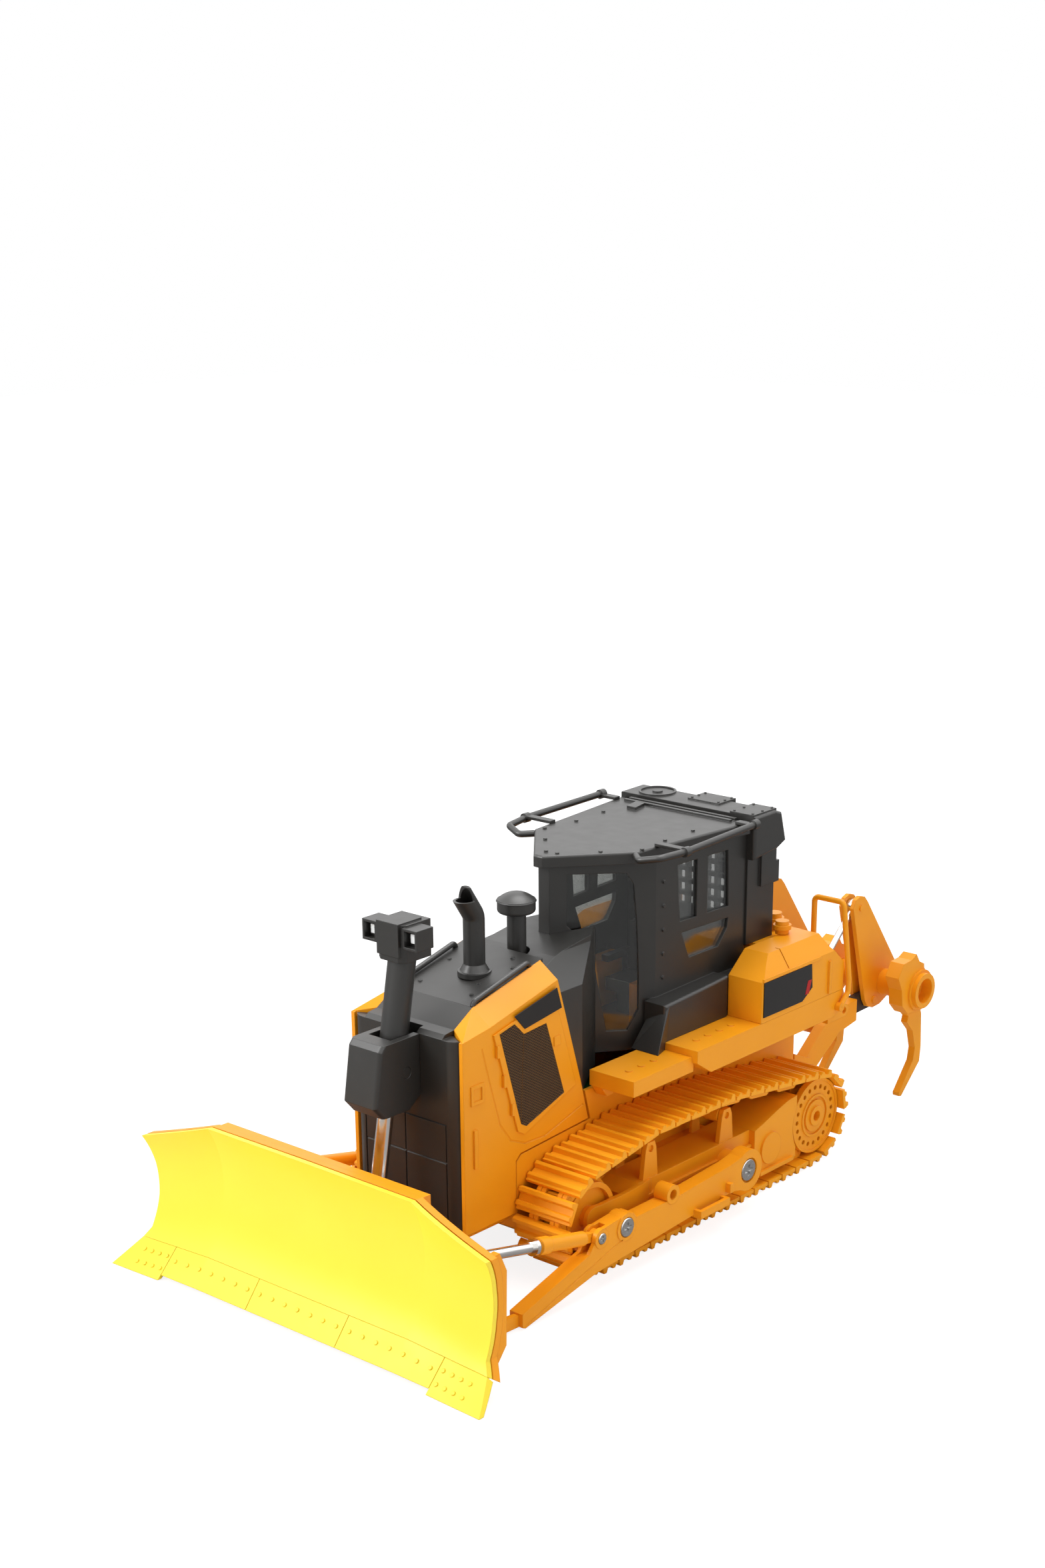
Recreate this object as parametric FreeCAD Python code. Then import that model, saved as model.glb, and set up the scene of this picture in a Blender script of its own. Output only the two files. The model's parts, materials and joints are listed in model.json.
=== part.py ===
import FreeCAD, Part
import math
import os

# Toy track-type tractor with a semi-U blade in front and a three-shank ripper behind.
# Millimetres. The front is -Y, the driver's left is +X, the ground is Z = 0.

V = FreeCAD.Vector
os.makedirs("parts", exist_ok=True)

# Clearances and walls
SEAT = 0.05            # gap between a piece and the piece that it is seated on
RUN = 0.06             # radial clearance of a shaft that turns in its bore
SIDE = 0.3             # gap between pieces that move past each other
WALL = 1.6             # moulded wall

# Tracks: the pins of each chain lie on a belt line round sprocket, two carriers and idler
TRACK_IN = 26.6
TRACK_OUT = 51.0
TRACK_MID = (TRACK_IN + TRACK_OUT) / 2
SHOE_COUNT = 40
PLATE_T = 1.4
GROUSER_H = 1.6
PIN_DEPTH = 3.2        # from the outer face of a shoe plate in to the pin line
PIN_R = 0.8
RAIL_R = 1.9
RAIL_T = 1.9
RAIL_GAP = 2.7         # from the chain's middle to the inner face of a narrow link
SPROCKET_Y = 69.9
SPROCKET_R = 14.2      # pin line round the sprocket
IDLER_Y = -62.9
IDLER_R = 15.7         # pin line round the idler
CARRIER_R = 3.4
FRONT_CARRIER = (-29.9, 36.2)
REAR_CARRIER = (15.2, 35.2)
AXLE_R = 2.0
DISC_HOLES = 20

# Track frames
FRAME_W = 15.2
FRAME_IN = TRACK_MID - FRAME_W / 2
FRAME_OUT = TRACK_MID + FRAME_W / 2
FRAME_FRONT = -45.0
FRAME_REAR = 51.6
FRAME_LOW = 12.2
FRAME_TOP = 25.2
ROLLER_R = 3.6
ROLLER_COUNT = 7

# Hood and radiator
HOOD_X = 26.0
HOOD_TOP_X = 18.0
HOOD_FRONT = -106.0
HOOD_BASE = 22.5
RIDGE_FRONT = (-92.2, 94.3)
RIDGE_REAR = (-57.4, 102.3)
HOOD_REAR_LOW = (-45.1, 61.8)
HOOD_TAIL = (-41.0, 46.2)
TOP_FRONT_Z = 99.7
TOP_REAR_Z = 107.8
NOSE_Z = 92.3
TOP_NOSE = (-101.4, 94.2)
CLEANER = (1.3, -50.6) # x, y of the air precleaner
CLEANER_Z = 127.6
CLEANER_FOOT_R = 4.6

# Chassis tub
TUB_X = 25.9
TUB_FRONT = -79.6
TUB_REAR = 86.0
TUB_BASE = 12.0
TUB_TOP = 57.0

# Cab
CAB_NOSE_X = 2.5
CAB_NOSE_Y = -34.4
CAB_CORNER = (25.4, -2.6)
CAB_REAR = (28.2, 47.6)
CAB_BASE = 62.0
CAB_WALL = 2.0
ROOF_T = 4.4
ROOF_Z = 137.6
CAB_TOP = ROOF_Z - ROOF_T
CAB_BOX_X = 34.0       # black locker that stands out from the cab's lower side
CAB_BOX_FRONT = -7.2
CAB_BOX_TOP = 81.0
AC_X = 32.0            # half width of the air-conditioner box
AC_REAR = 20.2         # how far it stands out behind the cab
AC_LOW = ROOF_Z - 14.8
POST_X = (20.0, 29.0)  # posts behind the cab that carry it
POST_DEPTH = 16.8

# Fenders and side boxes
FENDER_X = 49.0
FENDER_FRONT_X = 46.4
FENDER_STEP_Y = -7.4
FENDER_START = -40.6
FENDER_REAR = 84.2
FENDER_TOP = 67.2
FENDER_FRONT_TOP = 64.6
FENDER_LOW = 57.2
BOX_IN = 33.6
BOX_FRONT = 31.0
BOX_RIDGE_X = 44.2
BOX_RIDGE_Z = 91.2
BOX_SHOULDER_Z = 84.2

# Blade: one profile over the middle, which changes evenly to another at the end of each wing
BLADE_HALF = 88.2      # half width over the end bits' tips
WING_X = 47.8          # where the wings start
WING_END = BLADE_HALF - 8.2    # where the end profile is given
END_BIT_X = 64.4       # where the end bits start
CURVE_MID = (-190.2, 37.0, 41.1)
CURVE_END = (-187.6, 30.1, 36.3)
EDGE_TOP_MID = (-158.3, 11.1)
EDGE_TOP_END = (-158.0, 9.1)
EDGE_LOW_MID = (-165.7, 2.0)
EDGE_LOW_END = (-167.7, 0.8)
BLADE_TOP_Z = 58.0
SKIN_T = 1.8
BACK_T = 3.0
EDGE_T = 2.2

# Push arms
ARM_IN = TRACK_OUT + 1.2
ARM_OUT = ARM_IN + 5.8
PIVOT = (13.4, 17.0)   # y, z of the axis on which arms and blade lift
EYE_R = 8.0

# Lift cylinder on the nose
TRUNNION = (-113.8, 80.0)
CLEVIS = (-126.0, 16.0)
TUBE_R = 4.8
LIFT_ROD_R = 2.8
HEAD_Z = 117.5
LAMP_X = (5.9, 12.5)
LAMP_Z = (HEAD_Z + 5.2, HEAD_Z + 12.4)

# Ripper
ARM_PIVOT = (97.6, 24.0)
CARRIAGE_LOW = (145.6, 41.2)
CARRIAGE_TOP = (132.8, 83.4)
LINK_PIVOT = (91.6, 45.0)
PLATE_IN = 17.0        # inner faces of the two plates of each pair
PLATE_OUT = 22.2
PLATE_SIDE = 1.8
LINK_X = (PLATE_IN + PLATE_SIDE + PLATE_OUT) / 2
LINK_ROD_R = 1.3
KNUCKLE = 12.0         # how far the knuckle reaches ahead of the lower pivot
BAR = (152.6, 47.4)
SHANK_X = 38.0
SHANK_T = 3.0
SOCKET_T = 6.4
BAR_R = 5.4
BAR_SPLIT = 30.0       # where the bar ends and the end sockets' own arms begin


def box(x0, x1, y0, y1, z0, z1):
    return Part.makeBox(x1 - x0, y1 - y0, z1 - z0, V(x0, y0, z0))


def drum(axis, r, lo, hi, p, q):
    """A cylinder along one axis, from lo to hi, at p and q on the two others."""
    if axis == "x":
        return Part.makeCylinder(r, hi - lo, V(lo, p, q), V(1, 0, 0))
    if axis == "y":
        return Part.makeCylinder(r, hi - lo, V(p, lo, q), V(0, 1, 0))
    return Part.makeCylinder(r, hi - lo, V(p, q, lo), V(0, 0, 1))


def rod(a, b, r):
    a, b = V(*a), V(*b)
    return Part.makeCylinder(r, (b - a).Length, a, b - a)


def sweep(face, x, y, z):
    """The solid that a face sweeps along a vector, right side out whichever way the face looks."""
    solid = face.extrude(V(x, y, z))
    return solid if solid.Volume > 0 else solid.reversed()


def prism_x(points, x0, x1):
    """A side outline of (y, z) points, extruded across."""
    wire = Part.makePolygon([V(x0, y, z) for y, z in points + points[:1]])
    return sweep(Part.Face(wire), x1 - x0, 0, 0)


def prism_y(points, y0, y1):
    """A front outline of (x, z) points, extruded to the rear."""
    wire = Part.makePolygon([V(x, y0, z) for x, z in points + points[:1]])
    return sweep(Part.Face(wire), 0, y1 - y0, 0)


def prism_z(points, z0, z1):
    """A plan of (x, y) points, extruded upwards."""
    wire = Part.makePolygon([V(x, y, z0) for x, y in points + points[:1]])
    return sweep(Part.Face(wire), 0, 0, z1 - z0)


def flared(low, high, z0, z1):
    """A solid between two plans of four points each, with flat triangles for its sides."""
    base, top = [[V(x, y, z) for x, y in plan] for plan, z in ((low, z0), (high, z1))]
    rims = [base, top]
    for i, j in ((0, 1), (1, 2), (2, 3), (3, 0)):
        rims += [[base[i], base[j], top[j]], [base[i], top[j], top[i]]]
    faces = [Part.Face(Part.makePolygon(rim + rim[:1])) for rim in rims]
    solid = Part.makeSolid(Part.makeShell(faces))
    return solid if solid.Volume > 0 else solid.reversed()


def both(points):
    """A closed outline from its right half, from the middle line outwards and back."""
    return points + [(-x, q) for x, q in reversed(points) if x > 1e-6]


def mirror(shape):
    return shape.mirror(V(0, 0, 0), V(1, 0, 0))


def fuse(shapes):
    whole = shapes[0].fuse(shapes[1:]) if len(shapes) > 1 else shapes[0]
    return whole.removeSplitter()


def soften(shape, radius, pick):
    """Rounds the edges that pick chooses."""
    edges = [e for e in shape.Edges if pick(e)]
    return shape.makeFillet(radius, edges) if edges else shape


def upright(edge):
    a, b = edge.Vertexes[0].Point, edge.Vertexes[-1].Point
    return abs(a.x - b.x) < 1e-4 and abs(a.y - b.y) < 1e-4 and abs(a.z - b.z) > 1e-3


def across(edge):
    a, b = edge.Vertexes[0].Point, edge.Vertexes[-1].Point
    return abs(a.z - b.z) < 1e-4 and abs(a.y - b.y) < 1e-4 and abs(a.x - b.x) > 1e-3


def bent_rod(points, r, bend):
    """A round bar along straight runs that arcs of one bend radius join."""
    pts = [V(*p) for p in points]
    edges = []
    start = pts[0]
    for before, at, after in zip(pts, pts[1:], pts[2:]):
        u = (before - at).normalize()
        w = (after - at).normalize()
        half = u.getAngle(w) / 2
        cut = bend / math.tan(half)
        middle = (u + w).normalize() * (bend / math.sin(half) - bend)
        p0, p1 = at + u * cut, at + w * cut
        edges.append(Part.LineSegment(start, p0).toShape())
        edges.append(Part.Arc(p0, at + middle, p1).toShape())
        start = p1
    edges.append(Part.LineSegment(start, pts[-1]).toShape())
    path = Part.Wire(edges)
    profile = Part.Wire(Part.makeCircle(r, pts[0], pts[1] - pts[0]))
    return path.makePipeShell([profile], True, False)


def save(node, *shapes):
    solids = [s for shape in shapes for s in shape.Solids]
    whole = solids[0] if len(solids) == 1 else Part.makeCompound(solids)
    whole.exportStep("parts/" + node + ".step")
    print(node, len(solids), "solids", round(sum(s.Volume for s in solids)), "mm3")


# Track belt

SPROCKET_Z = SPROCKET_R + PIN_DEPTH + GROUSER_H
IDLER_Z = IDLER_R + PIN_DEPTH + GROUSER_H
CARRIER_LINE = CARRIER_R + SIDE + RAIL_R


def belt():
    """The pin line as straight runs and arcs, each with its length and its point at a distance."""
    wheels = [
        (IDLER_Y, IDLER_Z, IDLER_R),
        (SPROCKET_Y, SPROCKET_Z, SPROCKET_R),
        (REAR_CARRIER[0], REAR_CARRIER[1], CARRIER_LINE),
        (FRONT_CARRIER[0], FRONT_CARRIER[1], CARRIER_LINE),
    ]
    tangents = []
    for (y0, z0, r0), (y1, z1, r1) in zip(wheels, wheels[1:] + wheels[:1]):
        d = math.hypot(y1 - y0, z1 - z0)
        uy, uz = (y1 - y0) / d, (z1 - z0) / d
        c = (r0 - r1) / d
        s = math.sqrt(1 - c * c)
        ny, nz = uy * c + uz * s, uz * c - uy * s
        tangents.append(((y0 + r0 * ny, z0 + r0 * nz), (y1 + r1 * ny, z1 + r1 * nz), (ny, nz)))
    runs = []
    for i, (a, b, n) in enumerate(tangents):
        runs.append(("line", math.dist(a, b), a, b))
        y, z, r = wheels[(i + 1) % len(wheels)]
        m = tangents[(i + 1) % len(wheels)][2]
        start = math.atan2(n[1], n[0])
        turn = (math.atan2(m[1], m[0]) - start) % (2 * math.pi)
        runs.append(("arc", turn * r, (y, z, r), start))
    return runs


def on_belt(runs, s):
    s %= sum(run[1] for run in runs)
    for kind, length, p, q in runs:
        if s <= length:
            break
        s -= length
    if kind == "line":
        t = s / length
        return (p[0] + (q[0] - p[0]) * t, p[1] + (q[1] - p[1]) * t)
    y, z, r = p
    angle = q + s / r
    return (y + r * math.cos(angle), z + r * math.sin(angle))


def step_along(runs, s, pitch):
    here = on_belt(runs, s)
    lo, hi = s + 0.8 * pitch, s + 1.3 * pitch
    for _ in range(40):
        mid = (lo + hi) / 2
        if math.dist(here, on_belt(runs, mid)) < pitch:
            lo = mid
        else:
            hi = mid
    return hi


def pin_line():
    """Pins at one equal pitch all the way round, found by trying pitches."""
    runs = belt()
    total = sum(run[1] for run in runs)
    lo, hi = 0.9 * total / SHOE_COUNT, total / SHOE_COUNT
    for _ in range(40):
        pitch = (lo + hi) / 2
        stops = [0.0]
        for _ in range(SHOE_COUNT):
            stops.append(step_along(runs, stops[-1], pitch))
        if stops[-1] < total:
            lo = pitch
        else:
            hi = pitch
    return pitch, [on_belt(runs, s) for s in stops[:SHOE_COUNT]]


PITCH, PINS = pin_line()
GROUND_PINS = [y for y, z in PINS if z < PIN_DEPTH + GROUSER_H + 0.01]
print("shoe pitch", round(PITCH, 3), "mm, pins over the ground at y", [round(y, 2) for y in GROUND_PINS])


def chord_depth(r):
    """How far the middle of a straight link lies from the centre of a wheel with pin line r."""
    return math.sqrt(r * r - PITCH * PITCH / 4)


DISC_R = chord_depth(SPROCKET_R) + PIN_DEPTH - PLATE_T - SIDE


def shoe(wide):
    """One shoe on the ground run: pins at y = 0 and y = PITCH on z = 0, the ground below."""
    half = (TRACK_OUT - TRACK_IN) / 2
    gap = 0.35
    outer = -PIN_DEPTH
    tip = outer - GROUSER_H
    lead = (gap, outer), (gap + 0.5, tip), (gap + 1.9, tip), (gap + 2.6, outer)
    trail = (PITCH * 0.58, outer), (PITCH * 0.58 + 0.5, tip + 0.5)
    trail += (PITCH * 0.58 + 1.8, tip + 0.5), (PITCH * 0.58 + 2.4, outer)
    profile = [*lead, *trail, (PITCH - gap, outer), (PITCH - gap, outer + PLATE_T), (gap, outer + PLATE_T)]
    plate = prism_x(profile, TRACK_MID - half, TRACK_MID + half)
    inner = RAIL_GAP + (RAIL_T + 0.25 if wide else 0)
    rails = []
    for side in (-1, 1):
        a, b = sorted((TRACK_MID + side * inner, TRACK_MID + side * (inner + RAIL_T)))
        bar = box(a, b, 0, PITCH, -RAIL_R, RAIL_R)
        ends = [drum("x", RAIL_R, a, b, y, 0) for y in (0, PITCH)]
        foot = box(a, b, RAIL_R, PITCH - RAIL_R, outer + PLATE_T / 2, 0)
        rails += [bar.fuse(ends), foot]
    body = fuse([plate, *rails])
    lo, hi = TRACK_MID - half, TRACK_MID + half
    for y in (0, PITCH):
        body = body.cut(drum("x", PIN_R + RUN, lo, hi, y, 0))
    return body


def place_link(shape, a, b):
    moved = shape.copy()
    angle = math.degrees(math.atan2(b[1] - a[1], b[0] - a[0]))
    moved.rotate(V(0, 0, 0), V(1, 0, 0), angle)
    moved.translate(V(0, a[0], a[1]))
    return moved


def build_tracks():
    kinds = (shoe(False), shoe(True))
    chain = []
    pins = []
    reach = RAIL_GAP + 2 * RAIL_T + 0.25
    for i in range(SHOE_COUNT):
        chain.append(place_link(kinds[i % 2], PINS[i], PINS[(i + 1) % SHOE_COUNT]))
        pins.append(drum("x", PIN_R, TRACK_MID - reach, TRACK_MID + reach, *PINS[i]))
    save("track_chain_left", *chain)
    save("track_chain_right", *[mirror(s) for s in chain])
    save("chain_pins", *pins, *[mirror(s) for s in pins])


def build_wheels():
    # Sprocket: dished outer disc with a ring of holes, short teeth between the links, hub and shaft
    y, z = SPROCKET_Y, SPROCKET_Z
    disc_in = TRACK_MID + RAIL_GAP + 2 * RAIL_T + 0.25 + SIDE
    disc_out = disc_in + 2.4
    disc = drum("x", DISC_R, disc_in, disc_out, y, z)
    disc = disc.cut(drum("x", DISC_R - 1.1, disc_out - 0.5, disc_out, y, z))
    disc = disc.fuse(drum("x", 8.6, disc_in, disc_out, y, z))
    groove = drum("x", 7.6, disc_out - 0.8, disc_out, y, z)
    disc = disc.cut(groove.cut(drum("x", 6.4, disc_out - 0.8, disc_out, y, z)))
    disc = disc.fuse(drum("x", 4.0, disc_in, disc_out + 0.7, y, z))
    for i in range(DISC_HOLES):
        a = 2 * math.pi * i / DISC_HOLES
        hole = drum("x", 0.9, disc_in, disc_out, y + 11.5 * math.cos(a), z + 11.5 * math.sin(a))
        disc = disc.cut(hole)
    tooth_r = SPROCKET_R - PIN_R - SIDE
    points = []
    for i in range(24):
        r = tooth_r if i % 2 == 0 else tooth_r - 2.2
        for step in (-0.32, 0.32):
            a = 2 * math.pi * (i + step) / 24
            points.append((y + r * math.cos(a), z + r * math.sin(a)))
    teeth = prism_x(points, TRACK_MID - RAIL_GAP + SIDE, TRACK_MID + RAIL_GAP - SIDE)
    hub = drum("x", 6.0, TUB_X + 1.2, disc_in + 0.5, y, z)
    shaft = drum("x", AXLE_R, TUB_X - 8.0, disc_in, y, z)
    wheel = fuse([disc, teeth, hub, shaft])
    wheel = wheel.cut(drum("x", 2.1, disc_out - 2.0, disc_out + 0.7, y, z))
    save("sprocket_left", wheel)
    save("sprocket_right", mirror(wheel))

    # Idler: tread under the links, a guide flange between them, a bore for the yoke's axle
    y, z = IDLER_Y, IDLER_Z
    tread = chord_depth(IDLER_R) - RAIL_R - SIDE
    reach = RAIL_GAP + 2 * RAIL_T + 0.25
    idler = fuse([
        drum("x", tread, TRACK_MID - reach, TRACK_MID + reach, y, z),
        drum("x", IDLER_R - PIN_R - SIDE, TRACK_MID - RAIL_GAP + SIDE, TRACK_MID + RAIL_GAP - SIDE, y, z),
    ])
    for side in (-1, 1):
        face = TRACK_MID + side * reach
        a, b = sorted((face, face - side * 2.0))
        dish = drum("x", tread - 2.0, a, b, y, z).cut(drum("x", 4.0, a, b, y, z))
        idler = idler.cut(dish)
    idler = idler.cut(drum("x", AXLE_R + RUN, TRACK_IN, TRACK_OUT, y, z))
    save("idler_left", idler)
    save("idler_right", mirror(idler))

    # Bottom rollers and upper carriers on their own pins
    rollers = []
    low_z = GROUSER_H + PIN_DEPTH + RAIL_R + SIDE + ROLLER_R
    spread = (FRAME_REAR - 6.0) - (FRAME_FRONT + 4.0)
    for i in range(ROLLER_COUNT):
        y = FRAME_FRONT + 4.0 + spread * i / (ROLLER_COUNT - 1)
        rollers.append(drum("x", ROLLER_R, FRAME_IN + 2.2, FRAME_OUT - 2.2, y, low_z))
    for y, z in (FRONT_CARRIER, REAR_CARRIER):
        rollers.append(drum("x", CARRIER_R, TRACK_MID - reach, FRAME_OUT - 2.6, y, z))
    save("rollers", *rollers, *[mirror(s) for s in rollers])
    return low_z


def build_frames(low_z):
    """Left track frame: box, skirts over the rollers, yoke, carrier brackets, guard and pivot boss."""
    iy, iz = IDLER_Y, IDLER_Z
    beam = prism_x([
        (FRAME_FRONT, FRAME_LOW + 1.0), (FRAME_FRONT, FRAME_TOP - 2.0), (FRAME_FRONT + 8, FRAME_TOP),
        (FRAME_REAR, FRAME_TOP), (FRAME_REAR, FRAME_LOW + 1.0),
    ], FRAME_IN, FRAME_OUT)
    parts = [beam]
    for x0 in (FRAME_IN, FRAME_OUT - 1.9):
        parts.append(box(x0, x0 + 1.9, FRAME_FRONT, FRAME_REAR, low_z - 2.0, FRAME_TOP - 3.0))
    # Yoke arms out to the idler's axle
    for x0 in (FRAME_IN - 1.2, FRAME_OUT - 0.7):
        arm = prism_x([
            (FRAME_FRONT + 12, FRAME_LOW), (FRAME_FRONT + 12, FRAME_TOP), (FRAME_FRONT - 2, FRAME_TOP - 0.6),
            (iy + 3, iz + 4.2), (iy, iz + 4.6), (iy, iz - 4.6), (FRAME_FRONT, FRAME_LOW),
        ], x0, x0 + 1.9)
        parts += [arm, drum("x", 4.6, x0, x0 + 1.9, iy, iz)]
    parts.append(drum("x", AXLE_R, FRAME_IN - 1.2, FRAME_OUT + 1.2, iy, iz))
    # Carrier brackets, tapered, with a hole at the top
    for y, z in (FRONT_CARRIER, REAR_CARRIER):
        ear = prism_x([
            (y - 4.6, FRAME_TOP - 0.5), (y - 3.0, z), (y - 2.0, z + 2.6), (y + 2.0, z + 2.6),
            (y + 3.0, z), (y + 4.0, FRAME_TOP - 0.5),
        ], FRAME_OUT - 2.3, FRAME_OUT - 0.4)
        parts.append(ear.cut(drum("x", 1.3, FRAME_OUT - 1.3, FRAME_OUT, y, z)))
        parts.append(drum("x", 1.0, FRAME_OUT - 2.6 + SEAT, FRAME_OUT - 1.6, y, z))
        post = prism_x([
            (y - 2.6, FRAME_TOP - 0.5), (y - 1.6, z + 2.0), (y + 1.6, z + 2.0), (y + 2.6, FRAME_TOP - 0.5),
        ], FRAME_IN - 0.8, FRAME_IN + 0.5)
        parts.append(post)
    # Guard housing that hugs the front of the sprocket
    guard = prism_x([
        (29.0, 9.4), (29.0, FRAME_TOP), (37.0, 27.4), (44.0, 29.6), (50.0, 31.2), (56.0, 31.8),
        (56.0, 6.6), (31.0, 6.6),
    ], FRAME_IN, FRAME_OUT + 2.6)
    links = box(TRACK_MID - 7.4, TRACK_MID + 7.4, 20, 60, 0, 9.4)
    guard = guard.cut(links).cut(drum("x", DISC_R + 1.2, 20, 60, SPROCKET_Y, SPROCKET_Z))
    parts += [guard, drum("x", 6.2, FRAME_OUT, FRAME_OUT + 3.4, 39.0, 15.6)]
    parts.append(box(FRAME_OUT, FRAME_OUT + 4.0, 31.5, 53.0, 6.4, 8.0))
    # Step rail and outer ribs on the frame's side
    parts.append(box(FRAME_OUT - 0.5, FRAME_OUT + 1.2, -40.0, 29.0, 18.6, 19.8))
    rib_y = FRAME_FRONT + 12
    parts.append(box(FRAME_OUT - 0.5, FRAME_OUT + 0.8, rib_y, rib_y + 2, FRAME_LOW, FRAME_TOP))
    # Boss and stub that carry the push arm
    y, z = PIVOT
    parts += [drum("x", 5.4, FRAME_OUT - 1, ARM_IN - SIDE, y, z)]
    frame = fuse(parts)
    for x0 in (FRAME_IN, FRAME_OUT - 1.9):
        frame = frame.cut(box(x0 + 1.9, x0 + 2.2, FRAME_FRONT, FRAME_REAR, 0, low_z))
    roof_z = low_z + ROLLER_R + 0.4
    pocket = box(FRAME_IN + 1.9, FRAME_OUT - 1.9, FRAME_FRONT - 1, FRAME_REAR - 1.5, 0, roof_z)
    frame = frame.cut(pocket)
    tie = box(TUB_X - 0.3, FRAME_IN + 1, -12.0, 24.0, 14.0, 24.0)
    spread = (FRAME_REAR - 6.0) - (FRAME_FRONT + 4.0)
    stubs = []
    for i in range(ROLLER_COUNT):
        ry = FRAME_FRONT + 4.0 + spread * i / (ROLLER_COUNT - 1)
        stubs.append(drum("x", 1.0, FRAME_IN + 1.0, FRAME_IN + 2.2 + SEAT, ry, low_z))
        stubs.append(drum("x", 1.0, FRAME_OUT - 2.2 - SEAT, FRAME_OUT - 1.0, ry, low_z))
    stub = drum("x", 3.0 - RUN, ARM_IN - 2.0, ARM_OUT - 2.6, y, z)
    frame = fuse([frame, tie.cut(box(TUB_X - 1, TUB_X, -100, 100, 0, 60)), stub])
    save("track_frame_left", frame)
    save("track_frame_right", mirror(frame))


def build_tub():
    tail_y, tail_z = HOOD_TAIL
    outer = prism_x([
        (TUB_FRONT, TUB_BASE + 4), (TUB_FRONT, tail_z - 4.8), (TUB_FRONT + 2.6, tail_z - 2.6),
        (tail_y + 1.4, tail_z - 0.6),
        (HOOD_REAR_LOW[0] + 2.5, TUB_TOP), (TUB_REAR, TUB_TOP),
        (TUB_REAR, 30.0), (TUB_REAR - 6, TUB_BASE), (TUB_FRONT + 6, TUB_BASE),
    ], -TUB_X, TUB_X)
    inner = prism_x([
        (TUB_FRONT + WALL, TUB_BASE + 5), (TUB_FRONT + WALL, 60), (TUB_REAR - WALL, 60),
        (TUB_REAR - WALL, 31.0), (TUB_REAR - 7, TUB_BASE + WALL), (TUB_FRONT + 7, TUB_BASE + WALL),
    ], -TUB_X + WALL, TUB_X - WALL)
    tub = outer.cut(inner)
    nose = box(-22, 22, HOOD_FRONT - 2.0, TUB_FRONT + 3, HOOD_BASE - 3.5, HOOD_BASE - 1.0)
    lip = box(-18, 18, HOOD_FRONT - 5.0, HOOD_FRONT - 1.5, HOOD_BASE - 3.5, HOOD_BASE + 2.0)
    tab_y = HOOD_FRONT - 6.5
    tabs = [box(x - 2, x + 2, tab_y, tab_y + 2, HOOD_BASE - 5, HOOD_BASE) for x in (-13, 13)]
    tub = fuse([tub, nose, lip, *tabs])
    y, z = SPROCKET_Y, SPROCKET_Z
    for side in (-1, 1):
        lo, hi = sorted((side * (TUB_X - WALL - 0.1), side * (TUB_X + 1)))
        tub = tub.cut(drum("x", AXLE_R + RUN, lo, hi, y, z))
    tub = tub.cut(box(-13.4, 13.4, -35.3, 35.3, TUB_BASE - 1, TUB_BASE + WALL + 1))
    slot = box(-3.1, 3.1, 44.9, 53.1, TUB_BASE - 1, TUB_BASE + WALL + 1)
    tub = tub.cut(slot)
    save("chassis_tub", tub)

    door = box(-13.2, 13.2, -35.1, 35.1, TUB_BASE + 0.2, TUB_BASE + WALL)
    door = door.cut(drum("z", 1.6, TUB_BASE, TUB_BASE + 0.9, 0, 30))
    save("battery_door", door)

    cells = []
    for i in (-1, 0, 1):
        cells.append(drum("y", 6.8, -31, 31, i * 14.0, TUB_BASE + WALL + 6.8 + SEAT))
    tray = box(-21.4, 21.4, -32, 32, TUB_BASE + WALL + 14.0, TUB_BASE + WALL + 16.0)
    save("battery_pack", *cells, tray)

    board = box(-20, 20, -30, 26, 34.0, 35.4)
    chips = [box(-14, -4, -20, -8, 35.4, 37.4), box(4, 12, -4, 6, 35.4, 36.8)]
    posts = [drum("z", 1.4, 29.6 + SEAT, 34.0, x, y) for x in (-17, 17) for y in (-27, 23)]
    save("circuit_board", fuse([board, *chips, *posts]))

    motors = []
    for side in (-1, 1):
        a, b = sorted((side * 8.0, side * (TUB_X - WALL - 0.2)))
        gear = box(a, b, 58.0, 78.0, TUB_BASE + WALL + SEAT, 30.0)
        can = drum("y", 6.0, 40.0, 58.0, side * 15.0, 21.4)
        bore_lo, bore_hi = sorted((side * (TUB_X - 9.0), side * TUB_X))
        gear = gear.cut(drum("x", AXLE_R + RUN, bore_lo, bore_hi, y, z))
        motors.append(gear.fuse(can))
    save("drive_motors", *motors)

    lift = fuse([box(-9, 9, -72, -54, 18, 40), drum("y", 6.0, -54, -36.5, 0, 25)])
    foot = box(-11, 11, -70, -56, TUB_BASE + WALL + SEAT, 18)
    lift = fuse([lift, foot])
    ripper = fuse([box(-9, 9, 62, 80, 31.0, 50), drum("y", 5.6, 42, 62, 0, 42)])
    foot = box(-7, 7, 64, 78, TUB_BASE + WALL + SEAT, 31)
    save("implement_motors", lift, fuse([ripper, foot]))

    switch = fuse([
        box(-2.6, 2.6, 46.0, 50.0, TUB_BASE - 0.6, TUB_BASE + WALL + 0.3),
        box(-4.4, 4.4, 45.0, 51.0, TUB_BASE + WALL + 0.3, TUB_BASE + WALL + 1.6),
    ])
    save("power_switch", switch)


def hood_outline():
    low = HOOD_TAIL[1]
    return [
        (HOOD_FRONT, HOOD_BASE), (HOOD_FRONT, NOSE_Z), RIDGE_FRONT, RIDGE_REAR, HOOD_REAR_LOW,
        HOOD_TAIL, (TUB_FRONT + 2, low - 2.0), (TUB_FRONT - 0.4, low - 4.2), (TUB_FRONT - 0.4, HOOD_BASE),
    ]


def hang(points, drop):
    """A thin wall under the triangle of three points."""
    face = Part.Face(Part.makePolygon([*points, points[0]]))
    return sweep(face, 0, 0, -drop)


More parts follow.
